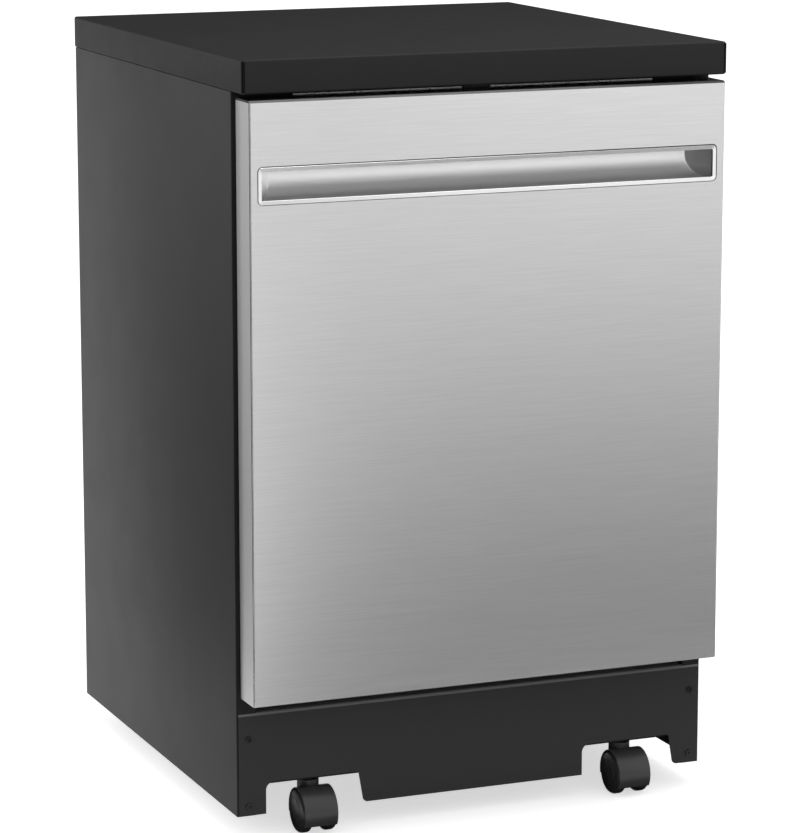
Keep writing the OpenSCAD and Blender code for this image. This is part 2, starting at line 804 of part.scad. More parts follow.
// Hoses from the pumps and the inlet valve to the riser, the rear outlets and the tub.
module internal_hoses() {
    wash_x = pump_x + wash_volute_w / 2;
    drain_x = pump_x + drain_volute_w / 2;
    dip = 16;
    outlet_y = cabinet_d - outlet_depth;
    turn_y = outlet_y - 12;
    inlet_z = pan_top + 18;
    fill_x = valve_low[0] + 13;
    fill_y = valve_low[1] + 10;
    wash_hose_r = 10;
    hose_r = 8;
    color("#3b3b3b") in_cabinet() {
        hose([[wash_x, pump_y + wash_outlet_end, pump_z], [wash_x, pump_y + 120, pump_z],
            [0, feed_y, pump_z], [0, feed_y, tub_under]], wash_hose_r);
        hose([[-drain_x, pump_y + drain_outlet_end, drain_z], [-drain_x, pump_y + 60, drain_z],
            [-drain_x, pump_y + 140, drain_z - dip], [outlets[2][0], turn_y - 60, drain_z - dip],
            [outlets[2][0], turn_y, outlets[2][1]], [outlets[2][0], outlet_y, outlets[2][1]]], hose_r);
        hose([[outlets[1][0], outlet_y, outlets[1][1]], [outlets[1][0], turn_y, outlets[1][1]],
            [outlets[1][0], turn_y, inlet_z], [valve_high[0], turn_y, inlet_z]], hose_r);
        hose([[fill_x, fill_y, valve_high[2]], [fill_x, fill_y, drain_z + 20],
            [fill_x + 12, fill_y, drain_z + 40], [fill_x + 12, fill_y, tub_under]], hose_r);
    }
}

float_switch_z = tub_under - 17;

// Switch below the float, hung from the tub's floor by two tabs.
module float_switch() {
    half = [20, 15];
    body_h = 22;
    tab_t = 3;
    color("#e2e0da") in_cabinet() translate([float_pos[0], float_pos[1], 0]) {
        box([-half[0], -half[1], float_switch_z - body_h], [half[0], half[1], float_switch_z]);
        side_boxes([half[0] - tab_t, -half[1], float_switch_z - eps], [half[0], half[1], tub_under]);
    }
}

// Overflow float, whose stem slides in the tub's floor above its switch.
module float() {
    dome_r = 18;
    dome_h = 16;
    crown_h = 4;
    foot = 5.3;
    color("#e9e9e6") in_cabinet() translate([float_pos[0], float_pos[1], 0]) {
        translate([0, 0, float_switch_z + clear])
            cylinder(r = float_stem_r, h = tub_floor + foot - float_switch_z);
        translate([0, 0, tub_floor + foot]) cylinder(r = dome_r, h = dome_h);
        translate([0, 0, tub_floor + foot + dome_h]) cylinder(r1 = dome_r, r2 = dome_r - 5, h = crown_h);
    }
}

// Channels on the tub's walls that the upper rack's wheels run in.
module rack_rails() {
    open_x = tub_half - rail_w;
    web_x = tub_half - 2.5;
    low = rail_z - rail_half_h;
    high = rail_z + rail_half_h;
    color("#c9ccce") in_cabinet() both_sides() along_y(rail_front, rail_back - rail_front) polygon([
        [tub_half, low - rail_lip], [tub_half, high + rail_lip], [open_x, high + rail_lip],
        [open_x, high], [web_x, high], [web_x, low], [open_x, low], [open_x, low - rail_lip]
    ]);
}

module latch_strike() {
    half = 17.5;
    z0 = gasket_z1 + 0.5;
    color("#1d1d1d") in_cabinet() {
        box([-half, 0.4, z0], [half, flange_y, frame_top]);
        box([-tongue_half, door_back - 13, z0 + 0.3], [tongue_half, 1, z0 + 0.3 + tongue_t]);
    }
}

// Hinge brackets: a foot on the upright, an ear that reaches into the door, and the hinge pin.
module hinge_brackets() {
    foot_t = 3;
    foot_h = 23;
    color("#5a5a5a") in_cabinet() both_sides() {
        box([ear_x, post_front - foot_t, hinge_z + hinge_eye_r - foot_h],
            [frame_half, post_front, hinge_z + hinge_eye_r]);
        along_x(ear_x, ear_t) {
            translate([hinge_y, hinge_z]) circle(hinge_eye_r);
            translate([hinge_y, hinge_z - hinge_eye_r]) square([post_front - hinge_y, 2 * hinge_eye_r]);
        }
        rod_x([ear_x, hinge_y, hinge_z], hinge_pin_r, pin_end - ear_x);
    }
}

// Torsion springs round the hinge pins, as plain sleeves.
module hinge_springs() {
    color("#8a8a8a") in_cabinet() both_sides() difference() {
        rod_x([ear_x + ear_t, hinge_y, hinge_z], hinge_eye_r - 0.5, arm_x - clear - ear_x - ear_t);
        rod_x([ear_x + ear_t - eps, hinge_y, hinge_z], hinge_pin_r + 0.4, arm_x - ear_x);
    }
}

// Riser on the tub's rear wall, with the upper rack's port and the top nozzle.
module feed_tube() {
    top = tub_ceiling - 20;
    nozzle_r = 20;
    nozzle_drop = 18;
    color("#cfd2d3") in_cabinet() difference() {
        union() {
            translate([0, feed_y, tub_floor]) cylinder(r = feed_r, h = top - tub_floor);
            translate([0, feed_y, top]) sphere(feed_r + elbow_rise);
            rod_y([0, sump_y, top], feed_r - elbow_rise, feed_y - sump_y);
            translate([0, sump_y, top - nozzle_drop])
                cylinder(r = nozzle_r, h = tub_ceiling - top + nozzle_drop);
            rod_y([0, rack_back + 4, pipe_z], feed_r - elbow_rise, feed_y - rack_back - 4);
        }
        rod_y([0, rack_back + 3, pipe_z], feed_r - 3, 8);
    }
}

// Door

pocket_gap = 0.5;

// Steel skin with wrapped sides, a folded bottom edge and the opening for the handle.
module door_panel() {
    z0 = door_bottom;
    pocket_z1 = pocket_z + pocket_h;
    bottom_fold = hinge_y - hinge_eye_r - 1;
    color("#c9c9c9") in_cabinet() difference() {
        union() {
            box([-door_half, face_y, z0], [door_half, skin_back, door_top]);
            side_boxes([door_in, face_y, z0], [door_half, door_back, door_top]);
            box([-door_half, face_y, z0], [door_half, bottom_fold, z0 + skin_t]);
        }
        along_y(face_y - eps, skin_t + 2 * eps) rounded_rect(
            [-pocket_w / 2 - pocket_gap, pocket_z - pocket_gap],
            [pocket_w / 2 + pocket_gap, pocket_z1 + pocket_gap], pocket_corner_r + pocket_gap);
    }
}

// The hollow's form: a scooped trough with leaning ends, grown by a wall.
module scoop(grow) {
    front = face_y - eps;
    half = pocket_w / 2 - pocket_rim + grow;
    reach = pocket_scoop_r + grow;
    top = pocket_z + pocket_h - pocket_rim + grow;
    lean = pocket_lean * (reach - grow + eps) / (pocket_scoop_r + eps);
    intersection() {
        translate([0, 0, pocket_z]) linear_extrude(top - pocket_z) polygon([
            [-half, front], [half, front],
            [half - lean, face_y + eps + reach], [lean - half, face_y + eps + reach]
        ]);
        rod_x([-pocket_w / 2, face_y + eps, pocket_z + pocket_rim + pocket_scoop_r], reach, pocket_w);
    }
}

// Bezel, a flange behind the skin, and the scooped shell of the pocket handle.
module handle_pocket() {
    bezel_t = 1.7;
    wing = 4.5;
    color("#d2d2d2") in_cabinet() difference() {
        union() {
            along_y(face_y, bezel_t) rounded_rect([-pocket_w / 2, pocket_z],
                [pocket_w / 2, pocket_z + pocket_h], pocket_corner_r);
            along_y(skin_back, bezel_t) rounded_rect([-pocket_w / 2 - wing, pocket_z - wing],
                [pocket_w / 2 + wing, pocket_z + pocket_h + wing], pocket_corner_r);
            intersection() {
                scoop(pocket_wall);
                box([-pocket_w, face_y + 0.5, 0], [pocket_w, 0, cabinet_h]);
            }
        }
        scoop(0);
    }
}

// Inner door sheet with a raised middle, a gap for the dispenser and slots for the hinges.
module door_liner() {
    face = door_back + liner_t;
    color("#c3c6c7") in_cabinet() difference() {
        union() {
            box([-door_in + 0.2, door_back, liner_z0], [door_in - 0.2, face, liner_top]);
            along_y(door_back, liner_t + liner_rise)
                rounded_rect([-tray_half, tray_z0], [tray_half, tray_z1], tray_r);
        }
        along_y(door_back - eps, liner_rise + eps) rounded_rect([liner_t - tray_half, tray_z0 + liner_t],
            [tray_half - liner_t, tray_z1 - liner_t], tray_r - liner_t);
        box([-cup_half, door_back, cup_z0], [cup_half, 50, cup_z1]);
        side_boxes([ear_x - 1, door_back - eps, liner_z0 - eps],
            [arm_x + clear, face + eps, hinge_z + hinge_eye_r + 2]);
    }
}

strip_wall = 2;

// Dark strip on the door's top edge, with openings for buttons, lenses and the latch.
module control_strip() {
    half = door_in - 0.2;
    front_wall = 20;
    mouth_y = door_back - 2 * strip_wall;
    hole = [button_size[0], button_size[1], 0] / 2;
    color("#232323") in_cabinet() difference() {
        union() {
            along_x(-door_half, door_w) polygon([
                [face_y, door_top], [face_y + strip_rise, strip_top], [door_back - 1, strip_top],
                [door_back, strip_top - 1], [door_back, door_top]
            ]);
            box([-half, door_back - strip_wall, liner_top], [half, door_back, door_top + eps]);
            box([-half, skin_back, door_top - front_wall], [half, skin_back + strip_wall, door_top + eps]);
        }
        for (x = button_x)
            box([x, button_y, door_top - eps] - hole, [x, button_y, strip_top + eps] + hole);
        for (x = lens_x) translate([x, button_y, door_top - eps])
            cylinder(r = lens_r, h = strip_rise + 2 * eps);
        box([-mouth_half, mouth_y, liner_top - eps], [mouth_half, door_back + eps, door_top]);
    }
}

// Circuit board hung from the control strip on short pillars.
module control_board() {
    half = door_in - 93.3;
    pillar_r = 2.5;
    pillar_inset = 10;
    pillar_x = [pillar_inset - half, -60, 95, half - pillar_inset];
    pillar_y = [-38, -24];
    color("#1f5a38") in_cabinet() {
        box([-half, skin_back + strip_wall + 1, board_z],
            [half, door_back - strip_wall - 1, board_z + board_t]);
        for (x = pillar_x, y = pillar_y) translate([x, y, board_z])
            cylinder(r = pillar_r, h = door_top - board_z);
    }
}

module push_button(x) {
    size = button_size - 2 * [button_gap, button_gap];
    bottom = board_z + board_t + button_travel + clear;
    color("#111111") in_cabinet()
        box([x - size[0] / 2, button_y - size[1] / 2, bottom],
            [x + size[0] / 2, button_y + size[1] / 2, strip_top + button_rise]);
}

module button_1() { push_button(button_x[0]); }
module button_2() { push_button(button_x[1]); }
module button_3() { push_button(button_x[2]); }
module button_4() { push_button(button_x[3]); }

// Light pipes from the board up to the strip.
module indicator_lenses() {
    bottom = board_z + board_t;
    color("#e8f0ff") in_cabinet() for (x = lens_x)
        translate([x, button_y, bottom]) cylinder(r = lens_r - 0.05, h = strip_top + 0.2 - bottom);
}

module dispenser_body() {
    gap = 0.3;
    color("#a9adb0") in_cabinet() difference() {
        box([gap - cup_half, cup_back, cup_z0 + gap], [cup_half - gap, cup_face, cup_z1 - gap]);
        box([lid_x0 + 6, cup_back + 3, lid_z0 + 8], [lid_x1 - 6, cup_face + eps, lid_z0 + lid_h - 6]);
        rod_y([cap_pos[0], cup_back + 3, cap_pos[1]], cap_r - 3, 60);
    }
}

// Lid of the detergent cup, on its hinge rod along the lower edge.
module dispenser_lid() {
    color("#bfc3c6") in_cabinet() {
        box([lid_x0, lid_y, lid_z0], [lid_x1, lid_y + lid_t, lid_z0 + lid_h]);
        box([(lid_x0 + lid_x1) / 2 - 14, lid_y + lid_t - eps, lid_z0 + lid_h - 16],
            [(lid_x0 + lid_x1) / 2 + 14, lid_y + lid_t + 3, lid_z0 + lid_h - 10]);
    }
}

module rinse_aid_cap() {
    color("#2f7fb8") in_cabinet() {
        rod_y([cap_pos[0], lid_y, cap_pos[1]], cap_r, 4);
        rod_y([cap_pos[0], lid_y - 8, cap_pos[1]], cap_r - 3 - play, 9);
        box([cap_pos[0] - 2, lid_y + 3, cap_pos[1] - 10], [cap_pos[0] + 2, lid_y + 8, cap_pos[1] + 10]);
    }
}

// Latch housing under the control strip, open to the rear for the strike's tongue.
module door_latch() {
    front = door_back - 26;
    z0 = door_top - 9.5;
    mouth_z = door_top - mouth_h - 0.5;
    color("#303438") in_cabinet() difference() {
        box([-latch_half, front, z0], [latch_half, door_back - strip_wall, door_top]);
        box([-mouth_half, front + 4, mouth_z], [mouth_half, door_back + eps, door_top + eps]);
    }
}

// Hinge arms: a plate with the eye on the hinge pin, and a box that stiffens the door's side.
module hinge_arms() {
    tall = 160;
    plate_front = skin_back + 3;
    plate_back = door_back - 3;
    plate_z = hinge_z + 12;
    stiff_z = hinge_z + 50;
    color("#6b6b6b") in_cabinet() both_sides() difference() {
        union() {
            along_x(arm_x, arm_plate_t) {
                translate([hinge_y, hinge_z]) circle(hinge_eye_r);
                translate([hinge_y - hinge_eye_r, hinge_z]) square([2 * hinge_eye_r, 20]);
                translate([plate_front, plate_z]) square([plate_back - plate_front, tall]);
            }
            box([arm_x, plate_front, stiff_z], [door_in, plate_back - 3, hinge_z + tall]);
        }
        rod_x([arm_x - eps, hinge_y, hinge_z], hinge_pin_r + play, 3 * arm_plate_t);
        box([arm_x + arm_plate_t, skin_back, stiff_z + 10],
            [door_in - member_t, door_back - 12, hinge_z + tall - 10]);
    }
}

// Racks

// Rows of tines on a rack's floor.
module rack_tines(z, xs, count) {
    for (x = xs) translate([x, rack_front + 20, z]) tine_row(rack_d - 40, count);
}

// Lower rack, with a bracket and an axle for each of its eight rollers.
module lower_rack() {
    color("#8e9499") in_cabinet() {
        translate([-rack_half, rack_front, lower_rack_z]) wire_basket([rack_w, rack_d, lower_rack_h]);
        rack_tines(lower_rack_z, lower_tines_x, 12);
        both_sides() for (y = roller_y) {
            box([rack_half - wire, y - 5, roller_z - 6], [rack_half, y + 5, lower_rack_z + 24]);
            rod_x([rack_half - wire, y, roller_z], roller_axle_r, roller_x + roller_w - rack_half + wire);
        }
    }
}

module rack_rollers() {
    color("#6f7478") in_cabinet() both_sides() for (y = roller_y) difference() {
        rod_x([roller_x, y, roller_z], roller_r, roller_w);
        rod_x([roller_x - eps, y, roller_z], roller_axle_r + play, roller_w + 2 * eps);
    }
}

// Open basket with a row of cells, on the lower rack's floor.
module silverware_basket() {
    wall = 2.5;
    cells = 4;
    low = [basket_x[0], basket_y[0], lower_rack_z + wire];
    size = [basket_x[1] - basket_x[0], basket_y[1] - basket_y[0], basket_h];
    step = (size[1] - wall) / cells;
    color("#9aa0a5") in_cabinet() translate(low) difference() {
        cube(size);
        for (i = [0 : cells - 1]) translate([wall, wall + i * step, wall])
            cube([size[0] - 2 * wall, step - wall, size[2]]);
    }
}

// Upper rack, with two wheels a side that run in the rails.
module upper_rack() {
    wheel_ys = [rack_back - 74, rack_back - 14];
    axle_r = 3;
    color("#8e9499") in_cabinet() {
        translate([-rack_half, rack_front, upper_rack_z]) wire_basket([rack_w, rack_d, upper_rack_h]);
        rack_tines(upper_rack_z, upper_tines_x, 10);
        both_sides() for (y = wheel_ys) {
            rod_x([rack_half - wire, y, rail_z], axle_r, tub_half - 4 - rack_half + wire);
            rod_x([tub_half - rail_w, y, rail_z], rail_roller_r, rail_w - 3);
            box([rack_half - wire, y - 5, upper_rack_z], [rack_half, y + 5, rail_z + 8]);
        }
    }
}

// Pipe under the upper rack that feeds its spray arm, with two clips and the arm's post.
module spray_manifold() {
    clip_half = 27;
    clip_d = 12;
    clip_t = 3;
    clip_top = upper_rack_z - 0.1;
    collar_r = 14;
    collar_h = 6;
    post_z = upper_arm_z - 4;
    color("#aab0b4") in_cabinet() {
        rod_y([0, sump_y, pipe_z], pipe_r, rack_back + 3.6 - sump_y);
        translate([0, sump_y, post_z]) cylinder(r = arm_post_r, h = pipe_z - post_z);
        translate([0, sump_y, pipe_z]) sphere(pipe_r + elbow_rise);
        translate([0, sump_y, upper_arm_z - collar_h]) cylinder(r = collar_r, h = collar_h - clear);
        for (y = [sump_y + 20, rack_back - 20]) {
            box([-4, y, pipe_z], [4, y + clip_d, clip_top - eps]);
            box([-clip_half, y, clip_top - clip_t], [clip_half, y + clip_d, clip_top]);
        }
    }
}

// Spray arms: two tapered blades on a hub, with a row of nozzles.
module spray_arm(tip_r, bore_r) {
    tip = tip_r - arm_tip_w / 2;
    nozzles = 5;
    nozzle_r = 4;
    nozzle_rise = 1.5;
    first = hub_r + 6;
    root = arm_root_w / 2;
    end = arm_tip_w / 2;
    difference() {
        union() {
            linear_extrude(arm_t) {
                circle(hub_r);
                for (side = [0, 180]) rotate(side) {
                    polygon([[0, -root], [tip, -end], [tip, end], [0, root]]);
                    translate([tip, 0]) circle(end);
                }
            }
            for (side = [0, 180]) rotate(side) for (i = [1 : nozzles])
                translate([first + i * (tip - first) / nozzles, 0, arm_t - eps])
                    cylinder(r = nozzle_r, h = nozzle_rise + eps);
        }
        translate([0, 0, -eps]) cylinder(r = bore_r + play, h = arm_t + 4);
    }
}

module lower_spray_arm() {
    color("#aab0b4") in_cabinet() translate([0, sump_y, lower_arm_z])
        spray_arm(lower_arm_r, post_r);
}

module upper_spray_arm() {
    color("#aab0b4") in_cabinet() translate([0, sump_y, upper_arm_z])
        spray_arm(upper_arm_r, arm_post_r);
}

// Casters

// Places a caster's own frame, which has its origin at the axle's middle.
module at_caster(side, y) {
    in_cabinet() translate([side * caster_x, y - caster_trail, axle_z]) children();
}

// Hood, web, neck, stem and axle.
module caster_body() {
    low = -14;
    neck_top = pan_z - clear - axle_z;
    along_x(-hood_half, 2 * hood_half) intersection() {
        difference() {
            circle(hood_out, $fn = 96);
            circle(hood_in, $fn = 96);
        }
        polygon([[-40, low], [0, low], [40, -4], [40, 40], [-40, 40]]);
    }
    along_x(-web_half, 2 * web_half) difference() {
        circle(hood_out - 0.2, $fn = 96);
        translate([-40, low - 40]) square([80, 40]);
    }
    difference() {
        translate([0, caster_trail, 4]) cylinder(r = neck_r, h = neck_top - 4);
        rod_x([-caster_w / 2, 0, 0], hood_in, caster_w, $fn = 96);
    }
    translate([0, caster_trail, neck_top - eps]) cylinder(r = stem_r, h = socket_top - pan_z - 2);
    rod_x([2.2 - caster_w / 2, 0, 0], caster_axle_r, caster_w - 4.4);
}

// Wheel on the +X side: a rounded tread and a domed face with a ring groove in it.
module caster_wheel() {
    x0 = caster_w / 2 - wheel_w;
    x1 = caster_w / 2;
    edge = 2.5;
    inner_edge = 3.5;
    face_r = wheel_r - edge;
    groove_r = 17;
    groove_w = 0.9;
    groove_depth = 0.8;
    dome_r = (face_r * face_r + wheel_dome * wheel_dome) / (2 * wheel_dome);
    function face_at(r) = [r, x1 - dome_r + sqrt(dome_r * dome_r - r * r)];
    groove_in = groove_r - groove_w;
    bore_end = x1 - 2;
    difference() {
        rotate([0, 90, 0]) rotate_extrude($fn = 96) polygon(concat(
            [[0, x0]],
            arc([wheel_r - inner_edge, x0 + inner_edge], inner_edge, 270, 360, 6),
            arc([face_r, x1 - edge - wheel_dome], edge, 0, 90, 5),
            [for (i = [1 : 4]) face_at(face_r - (face_r - groove_r) * i / 4)],
            [face_at(groove_r) - [0, groove_depth], face_at(groove_in) - [0, groove_depth]],
            [for (i = [0 : 6]) face_at(groove_in * (1 - i / 6))]
        ));
        rod_x([x0 - eps, 0, 0], caster_axle_r + play, bore_end - x0 + eps);
    }
}

module caster(side, y) {
    color("#222222") at_caster(side, y) caster_body();
}

// A wheel on the outer (1) or inner (-1) side of its caster.
module wheel(side, y, face) {
    color("#1b1b1b") at_caster(side, y) mirror([side * face < 0 ? 1 : 0, 0, 0]) caster_wheel();
}

module caster_front_left() { caster(-1, caster_front_y); }
module caster_front_right() { caster(1, caster_front_y); }
module caster_rear_left() { caster(-1, caster_rear_y); }
module caster_rear_right() { caster(1, caster_rear_y); }
module wheel_front_left_outer() { wheel(-1, caster_front_y, 1); }
module wheel_front_left_inner() { wheel(-1, caster_front_y, -1); }
module wheel_front_right_outer() { wheel(1, caster_front_y, 1); }
module wheel_front_right_inner() { wheel(1, caster_front_y, -1); }
module wheel_rear_left_outer() { wheel(-1, caster_rear_y, 1); }
module wheel_rear_left_inner() { wheel(-1, caster_rear_y, -1); }
module wheel_rear_right_outer() { wheel(1, caster_rear_y, 1); }
module wheel_rear_right_inner() { wheel(1, caster_rear_y, -1); }

worktop();
worktop_frame();
trim_strips();
side_panel_left();
side_panel_right();
rear_panel();
rear_outlets();
toe_kick();
toe_kick_screws();
base_frame();
tub();
tub_gasket();
sump();
filters();
circulation_pump();
drain_pump();
heating_element();
inlet_valve();
internal_hoses();
float_switch();
float();
rack_rails();
latch_strike();
hinge_brackets();
hinge_springs();
feed_tube();
door_panel();
handle_pocket();
door_liner();
control_strip();
control_board();
dispenser_body();
dispenser_lid();
rinse_aid_cap();
door_latch();
hinge_arms();
indicator_lenses();
button_1();
button_2();
button_3();
button_4();
upper_rack();
spray_manifold();
lower_rack();
rack_rollers();
silverware_basket();
lower_spray_arm();
upper_spray_arm();
caster_front_left();
wheel_front_left_outer();
wheel_front_left_inner();
caster_front_right();
wheel_front_right_outer();
wheel_front_right_inner();
caster_rear_left();
wheel_rear_left_outer();
wheel_rear_left_inner();
caster_rear_right();
wheel_rear_right_outer();
wheel_rear_right_inner();
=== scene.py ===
import math

import bmesh
import bpy
from mathutils import Matrix, Vector


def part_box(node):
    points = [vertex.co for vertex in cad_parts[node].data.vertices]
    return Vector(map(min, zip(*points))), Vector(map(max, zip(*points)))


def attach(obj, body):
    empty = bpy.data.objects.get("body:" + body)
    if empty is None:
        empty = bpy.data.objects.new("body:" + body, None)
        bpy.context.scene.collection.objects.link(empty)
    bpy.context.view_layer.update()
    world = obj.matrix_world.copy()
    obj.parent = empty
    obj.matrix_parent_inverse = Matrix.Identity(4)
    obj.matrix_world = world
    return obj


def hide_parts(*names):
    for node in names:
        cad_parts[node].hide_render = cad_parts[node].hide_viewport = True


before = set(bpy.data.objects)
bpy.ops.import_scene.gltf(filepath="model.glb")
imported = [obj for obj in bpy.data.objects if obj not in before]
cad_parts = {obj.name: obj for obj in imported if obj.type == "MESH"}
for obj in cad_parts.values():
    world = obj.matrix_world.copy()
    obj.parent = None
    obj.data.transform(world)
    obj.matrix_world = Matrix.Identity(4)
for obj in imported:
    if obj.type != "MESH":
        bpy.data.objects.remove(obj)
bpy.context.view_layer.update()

MM = 0.001


# Places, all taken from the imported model

def span(node):
    """Lowest and highest corner of a CAD node, and its middle."""
    low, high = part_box(node)
    return low, high, (low + high) / 2


cabinet_low = span("side_panel_left")[0]
door_low, door_high, _ = span("door_panel")
pocket_low, pocket_high, _ = span("handle_pocket")
toe_high = span("toe_kick")[1]

SHEET = 1.5 * MM  # the cabinet's sheet steel
SKIN = 1.2 * MM  # the door's stainless sheet
REAR = 590  # mm back to the rear sheet
ARM_Y = 280  # mm back to the spray arms, the heater's middle and the pumps


def at(x, y, z):
    """A place in mm from the cabinet's front bottom edge, as the part's source counts it."""
    return Vector((x * MM, cabinet_low.y + y * MM, cabinet_low.z + z * MM))


# Materials

def linear(colour):
    """Turns an sRGB hex colour into the linear colour that a shader wants."""
    parts = [int(colour[i:i + 2], 16) / 255 for i in (1, 3, 5)]
    return tuple(c / 12.92 if c <= 0.04045 else ((c + 0.055) / 1.055) ** 2.4 for c in parts) + (1.0,)


def add(tree, kind, inputs=None, **settings):
    """Adds one node with its settings; an input is a value or the output that feeds it."""
    made = tree.nodes.new("ShaderNode" + kind)
    for name, value in settings.items():
        setattr(made, name, value)
    for socket, value in (inputs or {}).items():
        if isinstance(value, bpy.types.NodeSocket):
            tree.links.new(value, made.inputs[socket])
        else:
            made.inputs[socket].default_value = value
    return made


class Finish:
    """A material under way: its tree, its shader and the place on the object in metres."""

    def __init__(self, name, colour, roughness, metallic=0.0, gloss=0.5):
        self.material = bpy.data.materials.new(name)
        self.material.use_nodes = True
        self.tree = self.material.node_tree
        self.shader = self.tree.nodes["Principled BSDF"]
        self.colour = colour
        self.set("Base Color", linear(colour))
        self.set("Roughness", roughness)
        self.set("Metallic", metallic)
        self.set("Specular IOR Level", gloss)
        self.place = add(self.tree, "TexCoord").outputs["Object"]
        self.bumped = None

    def set(self, socket, value):
        """Sets one plain number or colour on the shader."""
        self.shader.inputs[socket].default_value = value
        return self

    def noise(self, size, detail=3.0, stretch=(1, 1, 1)):
        """Noise whose grains are about size mm, stretched by so many times along X, Y and Z."""
        scale = Vector([1 / (size * MM * s) for s in stretch])
        where = add(self.tree, "VectorMath", {0: self.place, 1: scale}, operation="MULTIPLY").outputs[0]
        return add(self.tree, "TexNoise", {"Vector": where, "Scale": 1.0, "Detail": detail}).outputs["Fac"]

    def between(self, field, low, high, start=0.3, end=0.7):
        """Spreads a field over the range from low to high."""
        ends = {"Value": field, "From Min": start, "From Max": end, "To Min": low, "To Max": high}
        return add(self.tree, "MapRange", ends).outputs["Result"]

    def shade(self, field, other, start=0.3, end=0.7):
        """Lets the base colour drift towards another colour where the field is high."""
        ends = {0: self.between(field, 0.0, 1.0, start, end), 6: linear(self.colour), 7: linear(other)}
        mix = add(self.tree, "Mix", ends, data_type="RGBA")
        self.tree.links.new(mix.outputs[2], self.shader.inputs["Base Color"])
        return self

    def dull(self, field, low, high):
        """Varies the roughness with the field."""
        self.tree.links.new(self.between(field, low, high), self.shader.inputs["Roughness"])
        return self

    def relief(self, field, depth):
        """Raises the surface by depth mm where the field is high."""
        inputs = {"Height": field, "Distance": depth * MM, "Strength": 1.0}
        if self.bumped is not None:
            inputs["Normal"] = self.bumped
        self.bumped = add(self.tree, "Bump", inputs).outputs["Normal"]
        self.tree.links.new(self.bumped, self.shader.inputs["Normal"])
        return self


def laminate():
    """High-pressure laminate: matt and even, with the fine pebble of its press plate."""
    f = Finish("laminate", "#272727", 0.6, gloss=0.15)
    f.shade(f.noise(120, 2), "#282828")
    f.dull(f.noise(30, 2), 0.57, 0.62)
    return f.relief(f.noise(0.9, 2), 0.02).material


def powder_coat(name, colour, other, rough=0.5):
    """Baked powder coat on sheet steel: even and satin, with a slight orange peel."""
    f = Finish(name, colour, rough, gloss=0.12)
    f.shade(f.noise(160, 2), other)
    f.dull(f.noise(60, 2), rough - 0.01, rough + 0.02)
    return f.relief(f.noise(2.2, 2), 0.004).material


def brushed_stainless(name, colour, other):
    """Stainless sheet, belt-brushed along its width: fine level streaks that spread light up and down.
    The real grain is about 0.1 mm; it is drawn about 1 mm wide so that it shows."""
    f = Finish(name, colour, 0.36, 1.0)
    f.set("Anisotropic", 0.5).set("Anisotropic Rotation", 0.25)
    tangent = add(f.tree, "Tangent", direction_type="RADIAL", axis="Z").outputs[0]
    f.tree.links.new(tangent, f.shader.inputs["Tangent"])
    streaks = f.noise(1.1, 3, (70, 1, 1))
    f.shade(streaks, other, 0.35, 0.65)
    f.dull(f.noise(2.4, 2, (90, 1, 1)), 0.35, 0.38)
    return f.relief(streaks, 0.0015).material


def satin_plate():
    """The pocket handle's plating: brighter and smoother than the door, with no grain to see."""
    f = Finish("satin_plate", "#f0f0f0", 0.24, 1.0)
    f.shade(f.noise(30, 2), "#ededed")
    return f.dull(f.noise(1.5, 2, (20, 1, 1)), 0.22, 0.26).material


def hollow_plate_painted_shade():
    """The same plating in the handle's hollow: duller, with painted shade that darkens its colour towards
    its foot, which mirrors only its roof.
    """
    f = Finish("hollow_plate_painted_shade", "#fafafa", 0.4, 1.0)
    height = add(f.tree, "SeparateXYZ", {0: f.place}).outputs["Z"]
    # Painted shade: the colour darkens over the lowest part of the hollow.
    f.shade(height, "#b4b4b4", pocket_low.z + 22 * MM, pocket_low.z + 10 * MM)
    return f.dull(f.noise(1.5, 2, (20, 1, 1)), 0.38, 0.42).material


def toe_paint():
    """The cabinet's powder coat on the toe-kick, with a painted highlight along its bent top edge."""
    f = Finish("toe_paint", "#343434", 0.5, gloss=0.12)
    height = add(f.tree, "SeparateXYZ", {0: f.place}).outputs["Z"]
    # Painted highlight: the colour lightens in a band just under the top edge, where the bend catches light.
    f.shade(height, "#707070", toe_high.z - 4 * MM, toe_high.z - 2.6 * MM)
    f.dull(f.noise(60, 2), 0.49, 0.52)
    return f.relief(f.noise(2.2, 2), 0.004).material


def plated_steel(name, colour, other, rough=0.38):
    """Zinc-plated or plain rolled steel: dull metal with soft cloudy patches."""
    f = Finish(name, colour, rough, 1.0)
    f.shade(f.noise(14, 3), other)
    f.dull(f.noise(6, 2), rough - 0.06, rough + 0.08)
    return f.relief(f.noise(0.8, 2), 0.006).material


def moulded(name, colour, other, rough=0.45, grain=1.2, depth=0.02):
    """Injection-moulded plastic: an even colour with a faint flow mottle and a fine spark-eroded grain."""
    f = Finish(name, colour, rough)
    f.shade(f.noise(60, 2), other)
    f.dull(f.noise(9, 2), rough - 0.04, rough + 0.05)
    return f.relief(f.noise(grain, 2), depth).material


def rubber(name, colour, other):
    """Moulded rubber: matt and dark, with a dusty bloom."""
    f = Finish(name, colour, 0.72)
    f.shade(f.noise(18, 3), other)
    return f.relief(f.noise(0.7, 2), 0.03).material


def woven_screen():
    """Etched steel screen: rows of fine holes, drawn 3 mm apart so that they show."""
    f = Finish("woven_screen", "#9ea2a4", 0.35, 1.0)
    pitch = 1 / (3 * MM)
    scaled = {0: f.place, 1: (pitch, pitch, pitch)}
    where = add(f.tree, "VectorMath", scaled, operation="MULTIPLY").outputs[0]
    cell = add(f.tree, "VectorMath", {0: where}, operation="FRACTION").outputs[0]
    off = add(f.tree, "VectorMath", {0: cell, 1: (0.5, 0.5, 0.5)}, operation="SUBTRACT").outputs[0]
    x, y, _ = add(f.tree, "SeparateXYZ", {0: off}).outputs
    flat = add(f.tree, "CombineXYZ", {0: x, 1: y}).outputs[0]
    away = add(f.tree, "VectorMath", {0: flat}, operation="LENGTH").outputs["Value"]
    f.shade(away, "#141414", 0.34, 0.28)
    return f.relief(away, 0.3).material


